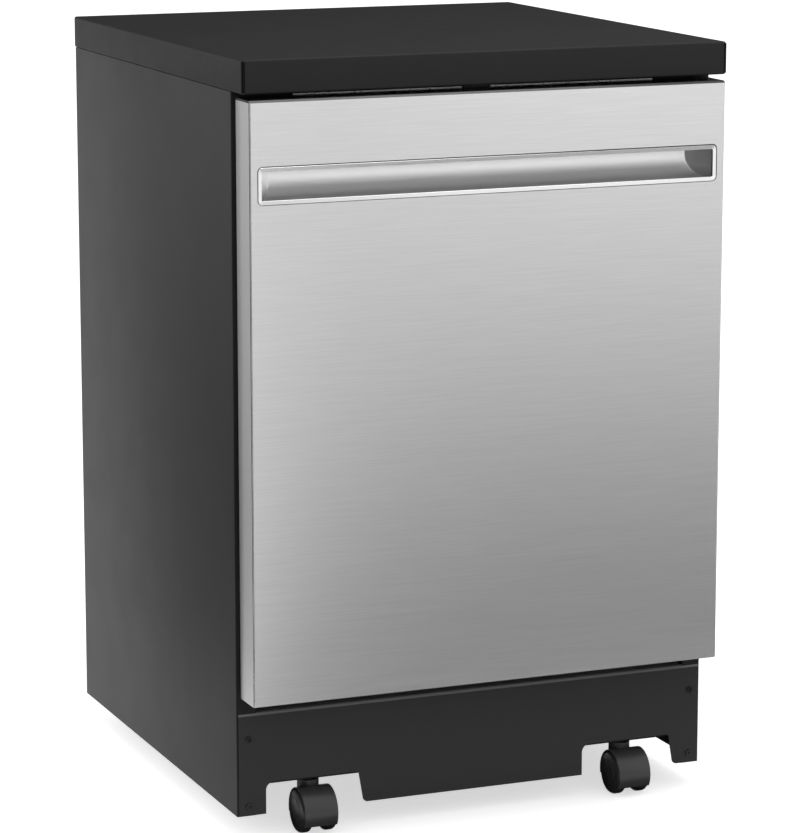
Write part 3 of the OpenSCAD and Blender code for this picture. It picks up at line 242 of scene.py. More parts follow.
def circuit_board():
    """Glass-fibre board with solder mask: glossy green, with lighter tracks."""
    f = Finish("circuit_board", "#1d5234", 0.3)
    layout = {"Vector": f.place, "Scale": 60.0, "Mortar Size": 0.03}
    tracks = add(f.tree, "TexBrick", layout).outputs["Fac"]
    return f.shade(tracks, "#4d8a5f", 0.4, 0.6).material


def clear_lens():
    """Clear acrylic light pipe."""
    f = Finish("clear_lens", "#e6eef5", 0.08).set("Transmission Weight", 0.8)
    return f.dull(f.noise(2, 1), 0.06, 0.12).material


def coated_wire():
    """Nylon-dipped steel wire: a soft grey skin with slight runs along the wire."""
    f = Finish("coated_wire", "#9aa0a5", 0.42)
    f.shade(f.noise(22, 2), "#8f959b")
    return f.relief(f.noise(2.5, 2), 0.08).material


finishes = {
    "worktop_laminate": laminate(),
    "stainless": brushed_stainless("brushed_stainless", "#ececec", "#e6e6e6"),
    # A darker copy of the door's stainless for its side wraps: painted shade.
    "shaded_side_stainless": brushed_stainless("shaded_side_stainless", "#d2d2d2", "#cccccc"),
    "pocket_metal": satin_plate(),
    "hollow_plate_painted_shade": hollow_plate_painted_shade(),
    "toe_paint": toe_paint(),
    "filter_mesh": woven_screen(),
    "board_green": circuit_board(),
    "lens_clear": clear_lens(),
    "rack_nylon": coated_wire(),
}
# The rest share a recipe: name, its two colours and how rough it is, for plastics also their grain.
for recipe, rows in (
    (powder_coat, (
        # The first row is painted shade, a near-black finish for the worktop's dark rounded corners.
        ("corner_shade_paint", "#0a0a0a", "#0c0c0c", 0.6),
        ("cabinet_paint", "#2f2f2f", "#313131"),
        ("frame_paint", "#1d1d1d", "#222222"),
    )),
    (plated_steel, (
        ("bright_steel", "#e8e8e8", "#e0e0e0", 0.3),
        ("screw_black", "#3c3c3c", "#363636", 0.4),
        ("heater_steel", "#57504a", "#4a4038", 0.34),
        ("rail_steel", "#c0c2c3", "#b4b6b8", 0.28),
        ("bracket_steel", "#8d8f90", "#818385", 0.36),
    )),
    (rubber, (
        ("gasket_rubber", "#3a3b3c", "#434445"),
        ("hose_rubber", "#2b2b2c", "#333334"),
    )),
    (moulded, (
        ("tub_plastic", "#b7babb", "#b1b4b6", 0.36),
        ("outlet_plastic", "#191919", "#1f1f1f"),
        ("sump_plastic", "#4b4f52", "#54585b"),
        ("pump_body", "#3c3f41", "#45484a", 0.4),
        ("valve_plastic", "#dddbd4", "#d5d2ca", 0.4),
        ("latch_dark", "#161616", "#1b1b1b"),
        ("feed_plastic", "#c9cccd", "#c1c4c6", 0.4),
        ("strip_plastic", "#2b2b2b", "#2e2e2e", 0.16, 0.8, 0.002),
        ("button_plastic", "#0f0f0f", "#141414", 0.24, 0.8, 0.008),
        ("dispenser_plastic", "#a2a6a9", "#9a9ea2", 0.38),
        ("cap_blue", "#2b78b0", "#2f82bd", 0.35),
        ("roller_plastic", "#6d7276", "#767b7f", 0.4),
        ("basket_plastic", "#8c9196", "#949a9f", 0.42),
        ("arm_plastic", "#a6abae", "#9fa4a8", 0.4),
        ("caster_nylon", "#343434", "#383838", 0.4, 1.0),
        ("wheel_nylon", "#262626", "#2a2a2a", 0.36, 1.0),
    )),
):
    for row in rows:
        finishes[row[0]] = recipe(*row)


# Shapes

TOUCHING = 1e-6  # points nearer than this are one


def eased(points, bend, closed=False, steps=6):
    """The points with each corner turned into an arc of radius bend, or as much as fits."""
    points = [Vector(p) for p in points]
    made = []
    for i, p in enumerate(points):
        if not closed and i in (0, len(points) - 1):
            made.append(p)
            continue
        before, after = points[i - 1] - p, points[(i + 1) % len(points)] - p
        u, v = before.normalized(), after.normalized()
        half = u.angle(v) / 2
        if bend <= 0 or half > math.pi / 2 - 0.01:
            made.append(p)
            continue
        reach = min(bend / math.tan(half), 0.49 * before.length, 0.49 * after.length)
        r = reach * math.tan(half)
        centre = p + (u + v).normalized() * (r / math.sin(half))
        a, b, turn = p + u * reach - centre, p + v * reach - centre, math.pi - 2 * half
        for k in range(steps + 1):
            s = k / steps
            made.append(centre + (a * math.sin((1 - s) * turn) + b * math.sin(s * turn)) / math.sin(turn))
    return made


def rectangle(x0, y0, x1, y1, corner=0.0, steps=6):
    """Outline from corner to corner, its corners rounded."""
    return eased([(x0, y0), (x1, y0), (x1, y1), (x0, y1)], corner, True, steps)


def within(low, high, inset, corner, steps=6, up=2):
    """Rounded outline inside a box that is seen from the front, or from above with up at 1."""
    return rectangle(low.x + inset, low[up] + inset, high.x - inset, high[up] - inset, corner, steps)


def ring(x, y, r, steps=24):
    """Round outline."""
    turns = [math.tau * k / steps for k in range(steps)]
    return [Vector((x + r * math.cos(a), y + r * math.sin(a))) for a in turns]


def ribbon(path, thick):
    """Closed outline of a bent sheet that lies to the left of a flat path."""
    other = []
    for i, p in enumerate(path):
        a, b = path[max(i - 1, 0)], path[min(i + 1, len(path) - 1)]
        along = (b - a).normalized()
        left = Vector((-along.y, along.x))
        lean = 1.0
        if 0 < i < len(path) - 1:
            lean = max(0.5, left.dot(Vector((-(p - a).y, (p - a).x)).normalized()))
        other.append(p + left * thick / lean)
    return list(path) + other[::-1]


def in_scene(name, data):
    """A new object in the scene."""
    made = bpy.data.objects.new(name, data)
    bpy.context.scene.collection.objects.link(made)
    return made


def meshed(bm, name):
    """Turns finished bmesh work into a mesh."""
    mesh = bpy.data.meshes.new(name)
    bm.to_mesh(mesh)
    bm.free()
    return mesh


def in_mm(points):
    """Points that are given in mm, in metres."""
    return [tuple(c * MM for c in p) for p in points]


def draw(curve, runs, closed):
    """Adds lines through flat or full points to a curve."""
    for run in runs:
        spline = curve.splines.new("POLY")
        spline.points.add(len(run) - 1)
        for point, place in zip(spline.points, run):
            x, y, z = (*place, 0)[:3]
            point.co = (x, y, z, 1)
        spline.use_cyclic_u = closed


def baked(curve):
    """The mesh of a curve, with its seams merged."""
    holder = in_scene("holder", curve)
    graph = bpy.context.evaluated_depsgraph_get()
    mesh = bpy.data.meshes.new_from_object(holder.evaluated_get(graph))
    bpy.data.objects.remove(holder)
    bm = bmesh.new()
    bm.from_mesh(mesh)
    bmesh.ops.remove_doubles(bm, verts=bm.verts, dist=TOUCHING)
    bm.to_mesh(mesh)
    bm.free()
    return mesh


def plate(loops, thick, edge=0.0, steps=2):
    """A flat plate from z 0 to thick, its outline and holes in X and Y, its edges rounded."""
    curve = bpy.data.curves.new("plate", "CURVE")
    curve.dimensions, curve.fill_mode = "2D", "BOTH"
    curve.extrude, curve.offset = thick / 2 - edge, -edge
    curve.bevel_depth, curve.bevel_resolution = edge, steps
    draw(curve, loops, True)
    mesh = baked(curve)
    mesh.transform(Matrix.Translation((0, 0, thick / 2)))
    return mesh


# A plate turned so that its outline is in X and Z and its thickness goes back, and one in Y and Z.
FACING = Matrix(((1, 0, 0, 0), (0, 0, 1, 0), (0, 1, 0, 0), (0, 0, 0, 1)))
SIDEWAYS = Matrix(((0, 0, 1, 0), (1, 0, 0, 0), (0, 1, 0, 0), (0, 0, 0, 1)))
MIRROR = Matrix.Scale(-1, 4, (1, 0, 0))  # swaps left and right


def placed(mesh, turn=Matrix.Identity(4), x=0.0, y=0.0, z=0.0):
    """The mesh turned and moved, with its faces kept outward."""
    mesh.transform(Matrix.Translation((x, y, z)) @ turn)
    if turn.determinant() < 0:
        mesh.flip_normals()
    return mesh


def block(low, high, edge=0.0, steps=2):
    """A box from corner to corner with rounded edges."""
    bm = bmesh.new()
    bmesh.ops.create_cube(bm, size=1.0)
    size, middle = Vector(high) - Vector(low), (Vector(high) + Vector(low)) / 2
    for v in bm.verts:
        v.co = middle + Vector([c * s for c, s in zip(v.co, size)])
    if edge:
        bmesh.ops.bevel(bm, geom=bm.edges, offset=edge, segments=steps, profile=0.5, affect="EDGES")
    return meshed(bm, "block")


def lathed(profile, centre, axis="Z", steps=64):
    """A turned form: profile is (radius, along) and goes round the axis through centre."""
    bm = bmesh.new()
    rings = []
    for r, along in profile:
        turns = [math.tau * k / steps for k in range(1 if r < TOUCHING else steps)]
        rings.append([bm.verts.new((r * math.cos(a), r * math.sin(a), along)) for a in turns])
    for one, two in zip(rings, rings[1:]):
        for k in range(steps):
            n = (k + 1) % steps
            face = [one[k % len(one)], one[n % len(one)], two[n % len(two)], two[k % len(two)]]
            face = [v for i, v in enumerate(face) if v not in face[:i]]
            if len(face) > 2:
                bm.faces.new(face)
    bmesh.ops.recalc_face_normals(bm, faces=bm.faces)
    turn = {"Z": Matrix.Identity(4), "X": SIDEWAYS, "Y": FACING}[axis]
    return placed(meshed(bm, "lathed"), turn, *centre)


def rod(r, start, end, centre, axis="Z", steps=64):
    """A plain round bar between two places along its axis."""
    return lathed([(0, start), (r, start), (r, end), (0, end)], centre, axis, steps)


def wires(runs, r, closed=False, sides=3):
    """Round wires or tubes along lists of points."""
    curve = bpy.data.curves.new("wires", "CURVE")
    curve.dimensions, curve.use_fill_caps = "3D", True
    curve.bevel_depth, curve.bevel_resolution = r, sides
    draw(curve, runs, closed)
    return baked(curve)


def piece(name, meshes, body, slot, replaces=(), sharp=35, finish=None):
    """One object made of meshes: it rides on a body and stands for CAD nodes.
    Its finish is the slot's, unless another is named."""
    bm = bmesh.new()
    for mesh in meshes:
        bm.from_mesh(mesh)
        bpy.data.meshes.remove(mesh)
    joined = meshed(bm, name)
    joined.polygons.foreach_set("use_smooth", [True] * len(joined.polygons))
    joined.set_sharp_from_angle(angle=math.radians(sharp))
    joined.materials.clear()
    joined.materials.append(finishes[finish or slot])
    made = in_scene(name, joined)
    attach(made, body)
    if replaces:
        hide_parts(*replaces)


def mirrored(mesh):
    """The mesh and its mirror image on the other side of the cabinet."""
    return [mesh, placed(mesh.copy(), MIRROR)]


def dress(node, slot, edge):
    """Gives a CAD node its finish, and softens its sharp edges by edge mm."""
    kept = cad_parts[node]
    kept.data.materials.clear()
    kept.data.materials.append(finishes[slot])
    if edge:
        weld = kept.modifiers.new("weld", "WELD")
        weld.merge_threshold = 0.01 * MM
        bevel = kept.modifiers.new("edges", "BEVEL")
        bevel.width, bevel.segments, bevel.limit_method = edge * MM, 2, "ANGLE"
        bevel.angle_limit = math.radians(30)
        bevel.harden_normals = True


# Cabinet

def worktop():
    """Slab with eased edges, and a near-black strip round each upright corner: painted shade for the dark
    its rounded corner mirrors.
    """
    low, high, _ = span("worktop")
    corner, strip_t, inset, eased_edge = 4 * MM, 0.3 * MM, 0.1 * MM, 2.6 * MM
    outline = within(low, high, inset, corner, up=1)
    slab = placed(plate([outline], high.z - low.z, eased_edge, 4), z=low.z)
    piece("worktop_slab", [slab], "cabinet", "worktop_laminate", ["worktop"])
    margin = 2 * MM
    tall = high.z - low.z - 2 * margin
    for side, x, turn in (("left", low.x, 1), ("right", high.x, -1)):
        bend = eased([(x, low.y + corner), (x, low.y), (x + turn * corner, low.y)], corner, steps=8)
        strip = placed(plate([ribbon(bend[::turn], strip_t)], tall), z=low.z + margin)
        # The corner strips are painted shade: a near-black finish for the dark the rounded corners mirror.
        piece("worktop_corner_" + side, [strip], "cabinet", "worktop_laminate", finish="corner_shade_paint")


def side_panel(side):
    """Painted outer sheet; its bent front edge and its two folds are in a darker paint, painted shade for
    the dark gap beside the door.
    The front fold lies behind the toe-kick."""
    low, high, _ = span("side_panel_right")
    bend, face, edge = 4 * MM, low.y + SHEET, 0.2 * MM
    sheet = rectangle(high.x - SHEET, face + bend, high.x, high.y, 0.3 * MM, 3)
    path = eased([(high.x, face + bend), (high.x, face), (low.x, face)], bend, steps=8)
    front = ribbon(path[::-1], SHEET)
    rear = rectangle(low.x, high.y - 2 * SHEET, high.x - SHEET, high.y - SHEET)
    sheets = [placed(plate([loop], high.z - low.z, edge), z=low.z) for loop in (sheet, front, rear)]
    if side == "left":
        sheets = [placed(mesh, MIRROR) for mesh in sheets]
    piece("side_sheet_" + side, sheets[:1], "cabinet", "cabinet_paint", ["side_panel_" + side])
    # The folds take the darker frame paint as painted shade.
    piece("side_folds_" + side, sheets[1:], "cabinet", "frame_paint")


def rear_screws():
    """Pan-head screws round the rear sheet; the middle of its foot has none."""
    head = in_mm([(0, 0.9), (2.2, 0.8), (3.4, 0.4), (3.7, 0)])
    foot, top = 60, 838
    heads = []
    for x in (-294, -150, 0, 150, 294):
        for z in ((foot, top) if x else (top,)):
            heads.append(lathed(head, at(x, REAR, z), "Y", 24))
    piece("rear_screw_heads", heads, "cabinet", "screw_black", sharp=60)


def outlets():
    """Cord gland and threaded hose ends in the rear sheet: a flange outside, the thread inside."""
    made = []
    proud, depth, pitch, end = 0.9, 0.5, 0.9, -18
    for x, z, r, bore in ((-200, 120, 6, 4.5), (120, 110, 12, 9), (170, 110, 12, 9)):
        flange = [(bore, proud), (bore + 0.4, proud), (r + 3.4, proud), (r + 4, 0.4), (r + 4, 0), (r, 0)]
        thread = [(r - depth * (k % 2), -17.6 + k * pitch) for k in range(18)]
        profile = flange + thread[::-1] + [(r - 0.6, end), (bore, end), (bore, proud)]
        made.append(lathed(in_mm(profile), at(x, REAR, z), "Y", 48))
    piece("rear_bushes", made, "cabinet", "outlet_plastic", ["rear_outlets"])


# Door

FACE = door_low.y
BEND = 1.6 * MM  # radius of the door's upright edges
RIM = 4.9 * MM  # width of the handle's bezel
HOLLOW = 33 * MM  # depth of the hollow behind it

# Rings of the bezel from its outer back edge over its face into the hollow: inset from its outline,
# corner radius and distance behind the door's face, in mm.
BEZEL_RINGS = (
    (0.2, 5.2, 0.9), (0.2, 5.2, 0.3), (0.5, 5.0, 0), (4.6, 1.8, 0.37), (4.9, 1.5, 0.7), (4.9, 1.5, 2.9))


def door_skin():
    """Brushed sheet wrapped round the door's sides, with the opening for the handle and a fold below."""
    half, tall = door_high.x, door_high.z - door_low.z
    low, high = bezel_corners()
    hole = rectangle(low.x - 0.6 * MM, low.z - 0.4 * MM, high.x + 0.6 * MM, high.z + 1.1 * MM, 6 * MM)
    outline = rectangle(BEND - half, door_low.z, half - BEND, door_high.z)
    front = placed(plate([outline, hole], SKIN), FACING, y=FACE)
    bend = eased([(half - BEND, FACE), (half, FACE), (half, FACE + BEND)], BEND, steps=12)[1:-1]
    side = [Vector((half, FACE + BEND)), Vector((half, door_high.y))]
    corner, wrap = [placed(plate([ribbon(path, SKIN)], tall), z=door_low.z) for path in (bend, side)]
    fold_back = at(0, -28, 0).y
    fold = block((SKIN - half, FACE + 0.2 * MM, door_low.z), (half - SKIN, fold_back, door_low.z + SKIN))
    piece("door_skin", [front, fold], "door", "stainless", ["door_panel"], 28)
    # The side wraps take the darker copy of the stainless, as painted shade.
    piece("door_sides", mirrored(wrap), "door", "stainless", sharp=28, finish="shaded_side_stainless")
    piece("door_bends", mirrored(corner), "door", "pocket_metal", sharp=28)


def bezel_corners():
    """Corners of the handle's bezel, which stands inside the flange that holds it."""
    flange = Vector((4.5 * MM, 0, 4.5 * MM))
    return pocket_low + flange, pocket_high - flange


def pocket_bezel():
    """Frame round the hollow whose four faces slope back towards it."""
    low, high = bezel_corners()
    bm = bmesh.new()
    rings = []
    for inset, corner, back in BEZEL_RINGS:
        inset, y = inset * MM, FACE + back * MM
        loop = within(low, high, inset, corner * MM)
        rings.append([bm.verts.new((p.x, y, p.y)) for p in loop])
    for one, two in zip(rings, rings[1:]):
        for k in range(len(one)):
            n = (k + 1) % len(one)
            bm.faces.new((one[k], one[n], two[n], two[k]))
    bm.normal_update()
    if sum(face.normal.y for face in bm.faces) > 0:
        bmesh.ops.reverse_faces(bm, faces=bm.faces)
    piece("pocket_bezel", [meshed(bm, "bezel")], "door", "pocket_metal", ["handle_pocket"], 25)


def hollow_section(front, bottom, top):
    """The hollow's (y, z) section: out of its gutter, up an arc and up the short back to its roof."""
    upright, r, gutter, steps = 9 * MM, 25 * MM, 4 * MM, 14
    section = [(front + 1.5 * MM, bottom - gutter)]
    for k in range(steps + 1):
        turn = math.radians(70) * (steps - k) / steps
        section.append((front + HOLLOW - r * (1 - math.cos(turn)), top - upright - r * math.sin(turn)))
    section.append((front + HOLLOW, top))
    return section


def pocket_hollow():
    """The handle's hollow behind its bezel, with ends that lean in towards the back."""
    low, high = bezel_corners()
    front, bottom, top = FACE + 1.2 * MM, low.z + RIM - 0.2 * MM, high.z - RIM + 0.4 * MM
    half, lean = high.x - RIM + 0.3 * MM, 20.5 * MM
    bm = bmesh.new()
    rows = []
    for y, z in hollow_section(front, bottom, top):
        x = half - lean * (y - front) / HOLLOW
        rows.append([bm.verts.new(p) for p in ((-x, y, z), (x, y, z), (-x, y, top), (x, y, top))])
    for one, two in zip(rows, rows[1:]):
        for a, b in ((0, 1), (0, 2), (1, 3), (2, 3)):
            corners = [one[a], one[b], two[b], two[a]]
            if len({v.co.to_tuple(7) for v in corners}) > 2:
                bm.faces.new(corners)
    bmesh.ops.remove_doubles(bm, verts=bm.verts, dist=TOUCHING)
    bmesh.ops.recalc_face_normals(bm, faces=bm.faces)
    # The faces that show are the inner ones, so the normals point to the middle of the opening.
    middle = Vector((0, FACE, (bottom + top) / 2))
    if sum((f.calc_center_median() - middle).dot(f.normal) for f in bm.faces) > 0:
        bmesh.ops.reverse_faces(bm, faces=bm.faces)
    seams = [e for e in bm.edges if len(e.link_faces) == 2 and e.calc_face_angle() > math.radians(30)]
    bmesh.ops.bevel(bm, geom=seams, offset=1.2 * MM, segments=4, profile=0.5, affect="EDGES")
    piece("pocket_hollow", [meshed(bm, "hollow")], "door", "pocket_metal", sharp=40, finish="hollow_plate_painted_shade")


def buttons():
    """Four eased push buttons on the door's top."""
    for i in range(1, 5):
        node = "button_%d" % i
        low, high, _ = span(node)
        piece("button_cap_%d" % i, [block(low, high, 0.8 * MM, 3)], node, "button_plastic", [node])


def lid():
    """Detergent cup's lid: a cover with a raised pad and a finger catch."""
    low, high, mid = span("dispenser_lid")
    cover = placed(plate([within(low, high, 0, 5 * MM)], 3.5 * MM, 1 * MM, 3), FACING, y=low.y)
    pad = rectangle(low.x + 9 * MM, low.z + 12 * MM, high.x - 9 * MM, high.z - 24 * MM, 6 * MM)
    raised = placed(plate([pad], 1.6 * MM, 0.7 * MM, 3), FACING, y=low.y + 3.1 * MM)
    catch = block((mid.x - 14 * MM, low.y + 3 * MM, high.z - 16 * MM),
                  (mid.x + 14 * MM, high.y, high.z - 10 * MM), 1.2 * MM, 3)
    piece("detergent_lid", [cover, raised, catch], "dispenser_lid", "dispenser_plastic", ["dispenser_lid"])


def rinse_cap():
    """Round cap with a grip bar and a milled edge."""
    low, high, mid = span("rinse_aid_cap")
    r, face, milled = (high.x - low.x) / 2, low.y + 8 * MM, 72
    rim = []
    for k in range(milled):
        tooth, turn = r - (0.5 * MM if k % 2 else 0), math.tau * k / milled
        rim.append(Vector((mid.x + tooth * math.cos(turn), mid.z + tooth * math.sin(turn))))
    disc = placed(plate([rim], 4 * MM, 0.3 * MM), FACING, y=face)
    plug = rod(r - 3.1 * MM, 0, 8.5 * MM, (mid.x, low.y, mid.z), "Y")
    grip = block((mid.x - 2 * MM, face + 3 * MM, mid.z - 10 * MM),
                 (mid.x + 2 * MM, high.y, mid.z + 10 * MM), 1.2 * MM, 3)
    piece("rinse_cap", [disc, plug, grip], "rinse_aid_cap", "cap_blue", ["rinse_aid_cap"])


def gasket():
    """Rubber door seal: a flat foot with two round bulbs that the door presses on."""
    low, high, _ = span("tub_gasket")
    width, thick, corner, r = 12 * MM, 2.6 * MM, 26 * MM, 2.2 * MM
    outer, inner = within(low, high, 0, corner, 10), within(low, high, width, 18 * MM, 10)
    meshes = [placed(plate([outer, inner], thick, 0.6 * MM), FACING, y=high.y - thick)]
    for inset in (3.4 * MM, 8.6 * MM):
        path = within(low, high, inset, corner - inset, 10)
        meshes.append(wires([[(p.x, low.y + r + 0.2 * MM, p.y) for p in path]], r, True))
    piece("door_seal", meshes, "cabinet", "gasket_rubber", ["tub_gasket"])


def springs():
    """Counterbalance springs round the hinge pins."""
    _, _, mid = span("hinge_springs")
    start, end = at(277.4, 0, 0).x, at(289.2, 0, 0).x
    turns, per_turn, r, wire = 6, 24, 5.7 * MM, 0.75 * MM
    steps = turns * per_turn
    for side, sign in (("left", -1), ("right", 1)):
        run = []
        for k in range(steps + 1):
            a, x = math.tau * k / per_turn, start + wire + (end - start - 2 * wire) * k / steps
            run.append((sign * x, mid.y + r * math.cos(a), mid.z + r * math.sin(a)))
        piece("hinge_coil_" + side, [wires([run], wire)], "cabinet", "bracket_steel",
              ["hinge_springs"] if side == "left" else ())


# Racks and spray arms

WIRE = 1.6 * MM  # radius of the racks' wire
PITCH = 46 * MM  # widest space between the hoops
LEG_X = 241.8  # mm out to the inner side of the racks' legs
ROLLER_Y, ROLLER_Z = (80, 200, 350, 470), 204  # the lower rack's rollers, in mm

rack_box = {
    "lower_rack": (at(-245, 46, 216), at(245, 504, 334)),
    "upper_rack": (at(-245, 46, 528), at(245, 504, 640)),
}


def basket_wires(low, high, rows):
    """Runs of a wire basket: hoops across and along, and level rings up the sides."""
    x0, x1, y0, y1 = low.x + WIRE, high.x - WIRE, low.y + WIRE, high.y - WIRE
    z0, z1 = low.z + WIRE, high.z - WIRE
    nx, ny = math.ceil((x1 - x0) / PITCH), math.ceil((y1 - y0) / PITCH)
    xs = [x0 + (x1 - x0) * k / nx for k in range(nx + 1)]
    ys = [y0 + (y1 - y0) * k / ny for k in range(ny + 1)]
    bend = 10 * MM
    along = [eased([(x, y0, z1), (x, y0, z0), (x, y1, z0), (x, y1, z1)], bend) for x in xs[1:-1]]
    across = [eased([(x0, y, z1), (x0, y, z0), (x1, y, z0), (x1, y, z1)], bend) for y in ys[1:-1]]
    rings = []
    for k in range(1, rows + 1):
        z = z0 + (z1 - z0) * k / rows
        rings.append(eased([(x0, y0, z), (x1, y0, z), (x1, y1, z), (x0, y1, z)], 12 * MM, True))
    return along + across, rings[:-1], rings[-1:]


def rack(node, tines_x, count, rows, extra):
    """Wire basket with a row of count tines at each x in mm, and what the rack carries."""
    low, high = rack_box[node]
    hoops, rings, rim = basket_wires(low, high, rows)
    margin, past = 20 * MM, 8 * MM
    foot, knee, tip = low.z + WIRE, low.z + 30 * MM, low.z + 71 * MM
    first = low.y + margin + WIRE
    step = (high.y - low.y - 2 * margin - 2 * WIRE) / (count - 1)
    tines = []
    for x in tines_x:
        x = x * MM + WIRE
        tines.append([(x, first - past, foot), (x, first + (count - 1) * step + past, foot)])
        for k in range(count):
            y = first + k * step
            tines.append([(x, y, foot), (x, y + 1.5 * MM, knee), (x, y, tip)])
    meshes = [wires(hoops, WIRE * 0.85), wires(tines, WIRE * 0.95), wires(rings, WIRE, True)]
    meshes.append(wires(rim, WIRE * 1.3, True))
    piece(node + "_wires", meshes + extra, node, "rack_nylon", [node])


def lower_rack():
    """Plate rack: a leg and an axle for each roller, and a wire handle on its front."""
    extra = []
    for y in ROLLER_Y:
        extra += mirrored(block(at(LEG_X, y - 5, 197.7), at(245, y + 5, 240), 0.6 * MM))
        extra += mirrored(rod(3 * MM, 0, 21 * MM, at(LEG_X, y, ROLLER_Z), "X", 24))
    handle = eased([at(-90, 44.6, 331), at(-90, 42, 352), at(90, 42, 352), at(90, 44.6, 331)], 14 * MM)
    extra.append(wires([handle], WIRE * 1.2))
    rack("lower_rack", (-205, -150, -95, -40, 15, 70), 12, 3, extra)


def upper_rack():
    """Cup rack: two legs with an axle and a rail wheel on each side."""
    wheel = in_mm([(0, 0), (6, 0), (7.4, 0.8), (7.4, 6.6), (6, 7.4), (0, 7.4)])
    rail_z = 568
    extra = []
    for y in (430, 490):
        extra += mirrored(block(at(LEG_X, y - 5, 529), at(245, y + 5, 576), 0.6 * MM))
        extra += mirrored(rod(3 * MM, 0, 26 * MM, at(LEG_X, y, rail_z), "X", 24))
        extra += mirrored(lathed(wheel, at(261.6, y, rail_z), "X", 40))
    rack("upper_rack", (-190, -130, -70, 70, 130, 190), 10, 3, extra)


def manifold():
    """Pipe that feeds the upper arm, its hub, and two clips that hang it from the rack."""
    pipe = eased([at(0, 507, 514), at(0, ARM_Y, 514), at(0, ARM_Y, 480)], 12 * MM)
    hub = in_mm([(0, 0), (14, 0), (14, 4.6), (9, 5.7), (9, 27), (0, 27)])
    meshes = [wires([pipe], 10.4 * MM, sides=8), lathed(hub, at(0, ARM_Y, 480))]
    for y in (300, 484):
        meshes.append(block(at(-27, y, 527), at(27, y + 12, 532), 1 * MM))
        meshes.append(block(at(-4, y, 520), at(4, y + 12, 529), 0.6 * MM))
    piece("manifold_pipe", meshes, "upper_rack", "arm_plastic", ["spray_manifold"])


def rollers():
    """Lower rack's rollers: a hub, a thin web and a wide tread with rounded edges."""
    profile = in_mm([(3.1, 0), (6, 0), (6.4, 1.4), (11, 1.4), (11.6, 0.2), (13, 0), (14, 0.9), (14, 11.1),
                     (13, 12), (11.6, 11.8), (11, 10.6), (6.4, 10.6), (6, 12), (3.1, 12), (3.1, 0)])
    made = []
    for y in ROLLER_Y:
        made += mirrored(lathed(profile, at(250, y, ROLLER_Z), "X", 48))
    piece("rack_wheels", made, "lower_rack", "roller_plastic", ["rack_rollers"])


def slotted(width, height, nx, nz, thick):
    """A moulded wall with nx by nz slots in it."""
    margin, rib, bar = 7 * MM, 1.6 * MM, 1.8 * MM
    loops = [rectangle(0, 0, width, height, 2 * MM)]
    sx, sz = (width - margin) / nx, (height - 2 * margin) / nz
    for i in range(nx):
        for k in range(nz):
            x, z = margin / 2 + i * sx, margin + k * sz
            loops.append(rectangle(x + rib, z + bar, x + sx - rib, z + sz - bar, 1.5 * MM, 3))
    return plate(loops, thick, 0.5 * MM, 1)


def silverware_basket():
    """Moulded basket: slotted walls and floor, ribs between the cells and a carrying handle."""
    low, high, mid = span("silverware_basket")
    width, depth, height = high.x - low.x, high.y - low.y, high.z - low.z
    wall, across, along, up, cells = 2.5 * MM, 8, 26, 5, 4
    meshes = []
    for k in range(cells + 1):
        y = low.y + (depth - wall) * k / cells
        meshes.append(placed(slotted(width, height, across, up, wall), FACING, low.x, y, low.z))
    for x in (low.x, high.x - wall):
        meshes.append(placed(slotted(depth, height, along, up, wall), SIDEWAYS, x, low.y, low.z))
    meshes.append(placed(slotted(width, depth, across, along, wall), x=low.x, y=low.y, z=low.z))
    inset = 1.6 * MM
    rim = within(low, high, inset, 4 * MM, up=1)
    meshes.append(wires([[(p.x, p.y, high.z - inset) for p in rim]], 2.1 * MM, True))
    reach, foot, top = 70 * MM, high.z - 8 * MM, high.z + 44 * MM
    handle = [(mid.x, mid.y - reach, foot), (mid.x, mid.y - reach, top),
              (mid.x, mid.y + reach, top), (mid.x, mid.y + reach, foot)]
    meshes.append(wires([eased(handle, 24 * MM)], 4 * MM, sides=6))
    piece("cutlery_basket", meshes, "lower_rack", "basket_plastic", ["silverware_basket"], 40)


def spray_arm(node, bore):
    """Two tapered blades with a rounded edge, a collar round the hub, and ribs beside raised nozzles."""
    low, high, mid = span(node)
    tip, root, end = (high.x - low.x) / 2, 26 * MM, 15 * MM
    corners = [(root, -root), (tip, -end), (tip, end), (root, root),
               (-root, root), (-tip, end), (-tip, -end), (-root, -root)]
    blades = plate([eased(corners, end * 0.96, True, 8), ring(0, 0, bore)], 10 * MM, 3.2 * MM, 4)
    meshes = [placed(blades, x=mid.x, y=mid.y, z=low.z)]
    nozzle = in_mm([(0, 2.4), (1.2, 1.5), (1.5, 2.5), (3, 2.4), (4, 1.4), (4.2, 0)])
    hub_end, tip_end, count = 34, 15, 5
    for sign in (-1, 1):
        for k in range(1, count + 1):
            x = mid.x + sign * (hub_end + k * (tip / MM - tip_end - hub_end) / count) * MM
            meshes.append(lathed(nozzle, (x, mid.y, low.z + 9.2 * MM), "Z", 24))
            meshes.append(block((x - 6 * MM, mid.y - 10 * MM, low.z + 9.4 * MM),
                                (x - 5 * MM, mid.y + 10 * MM, low.z + 10.6 * MM), 0.4 * MM))
    collar = [(bore, 8 * MM), (bore + 9 * MM, 8 * MM), (bore + 9 * MM, 10.8 * MM),
              (bore + 8 * MM, 11.6 * MM), (bore, 11.6 * MM)]
    meshes.append(lathed(collar, (mid.x, mid.y, low.z), "Z", 48))
    piece(node + "_shell", meshes, node, "arm_plastic", [node])


# Works below the tub

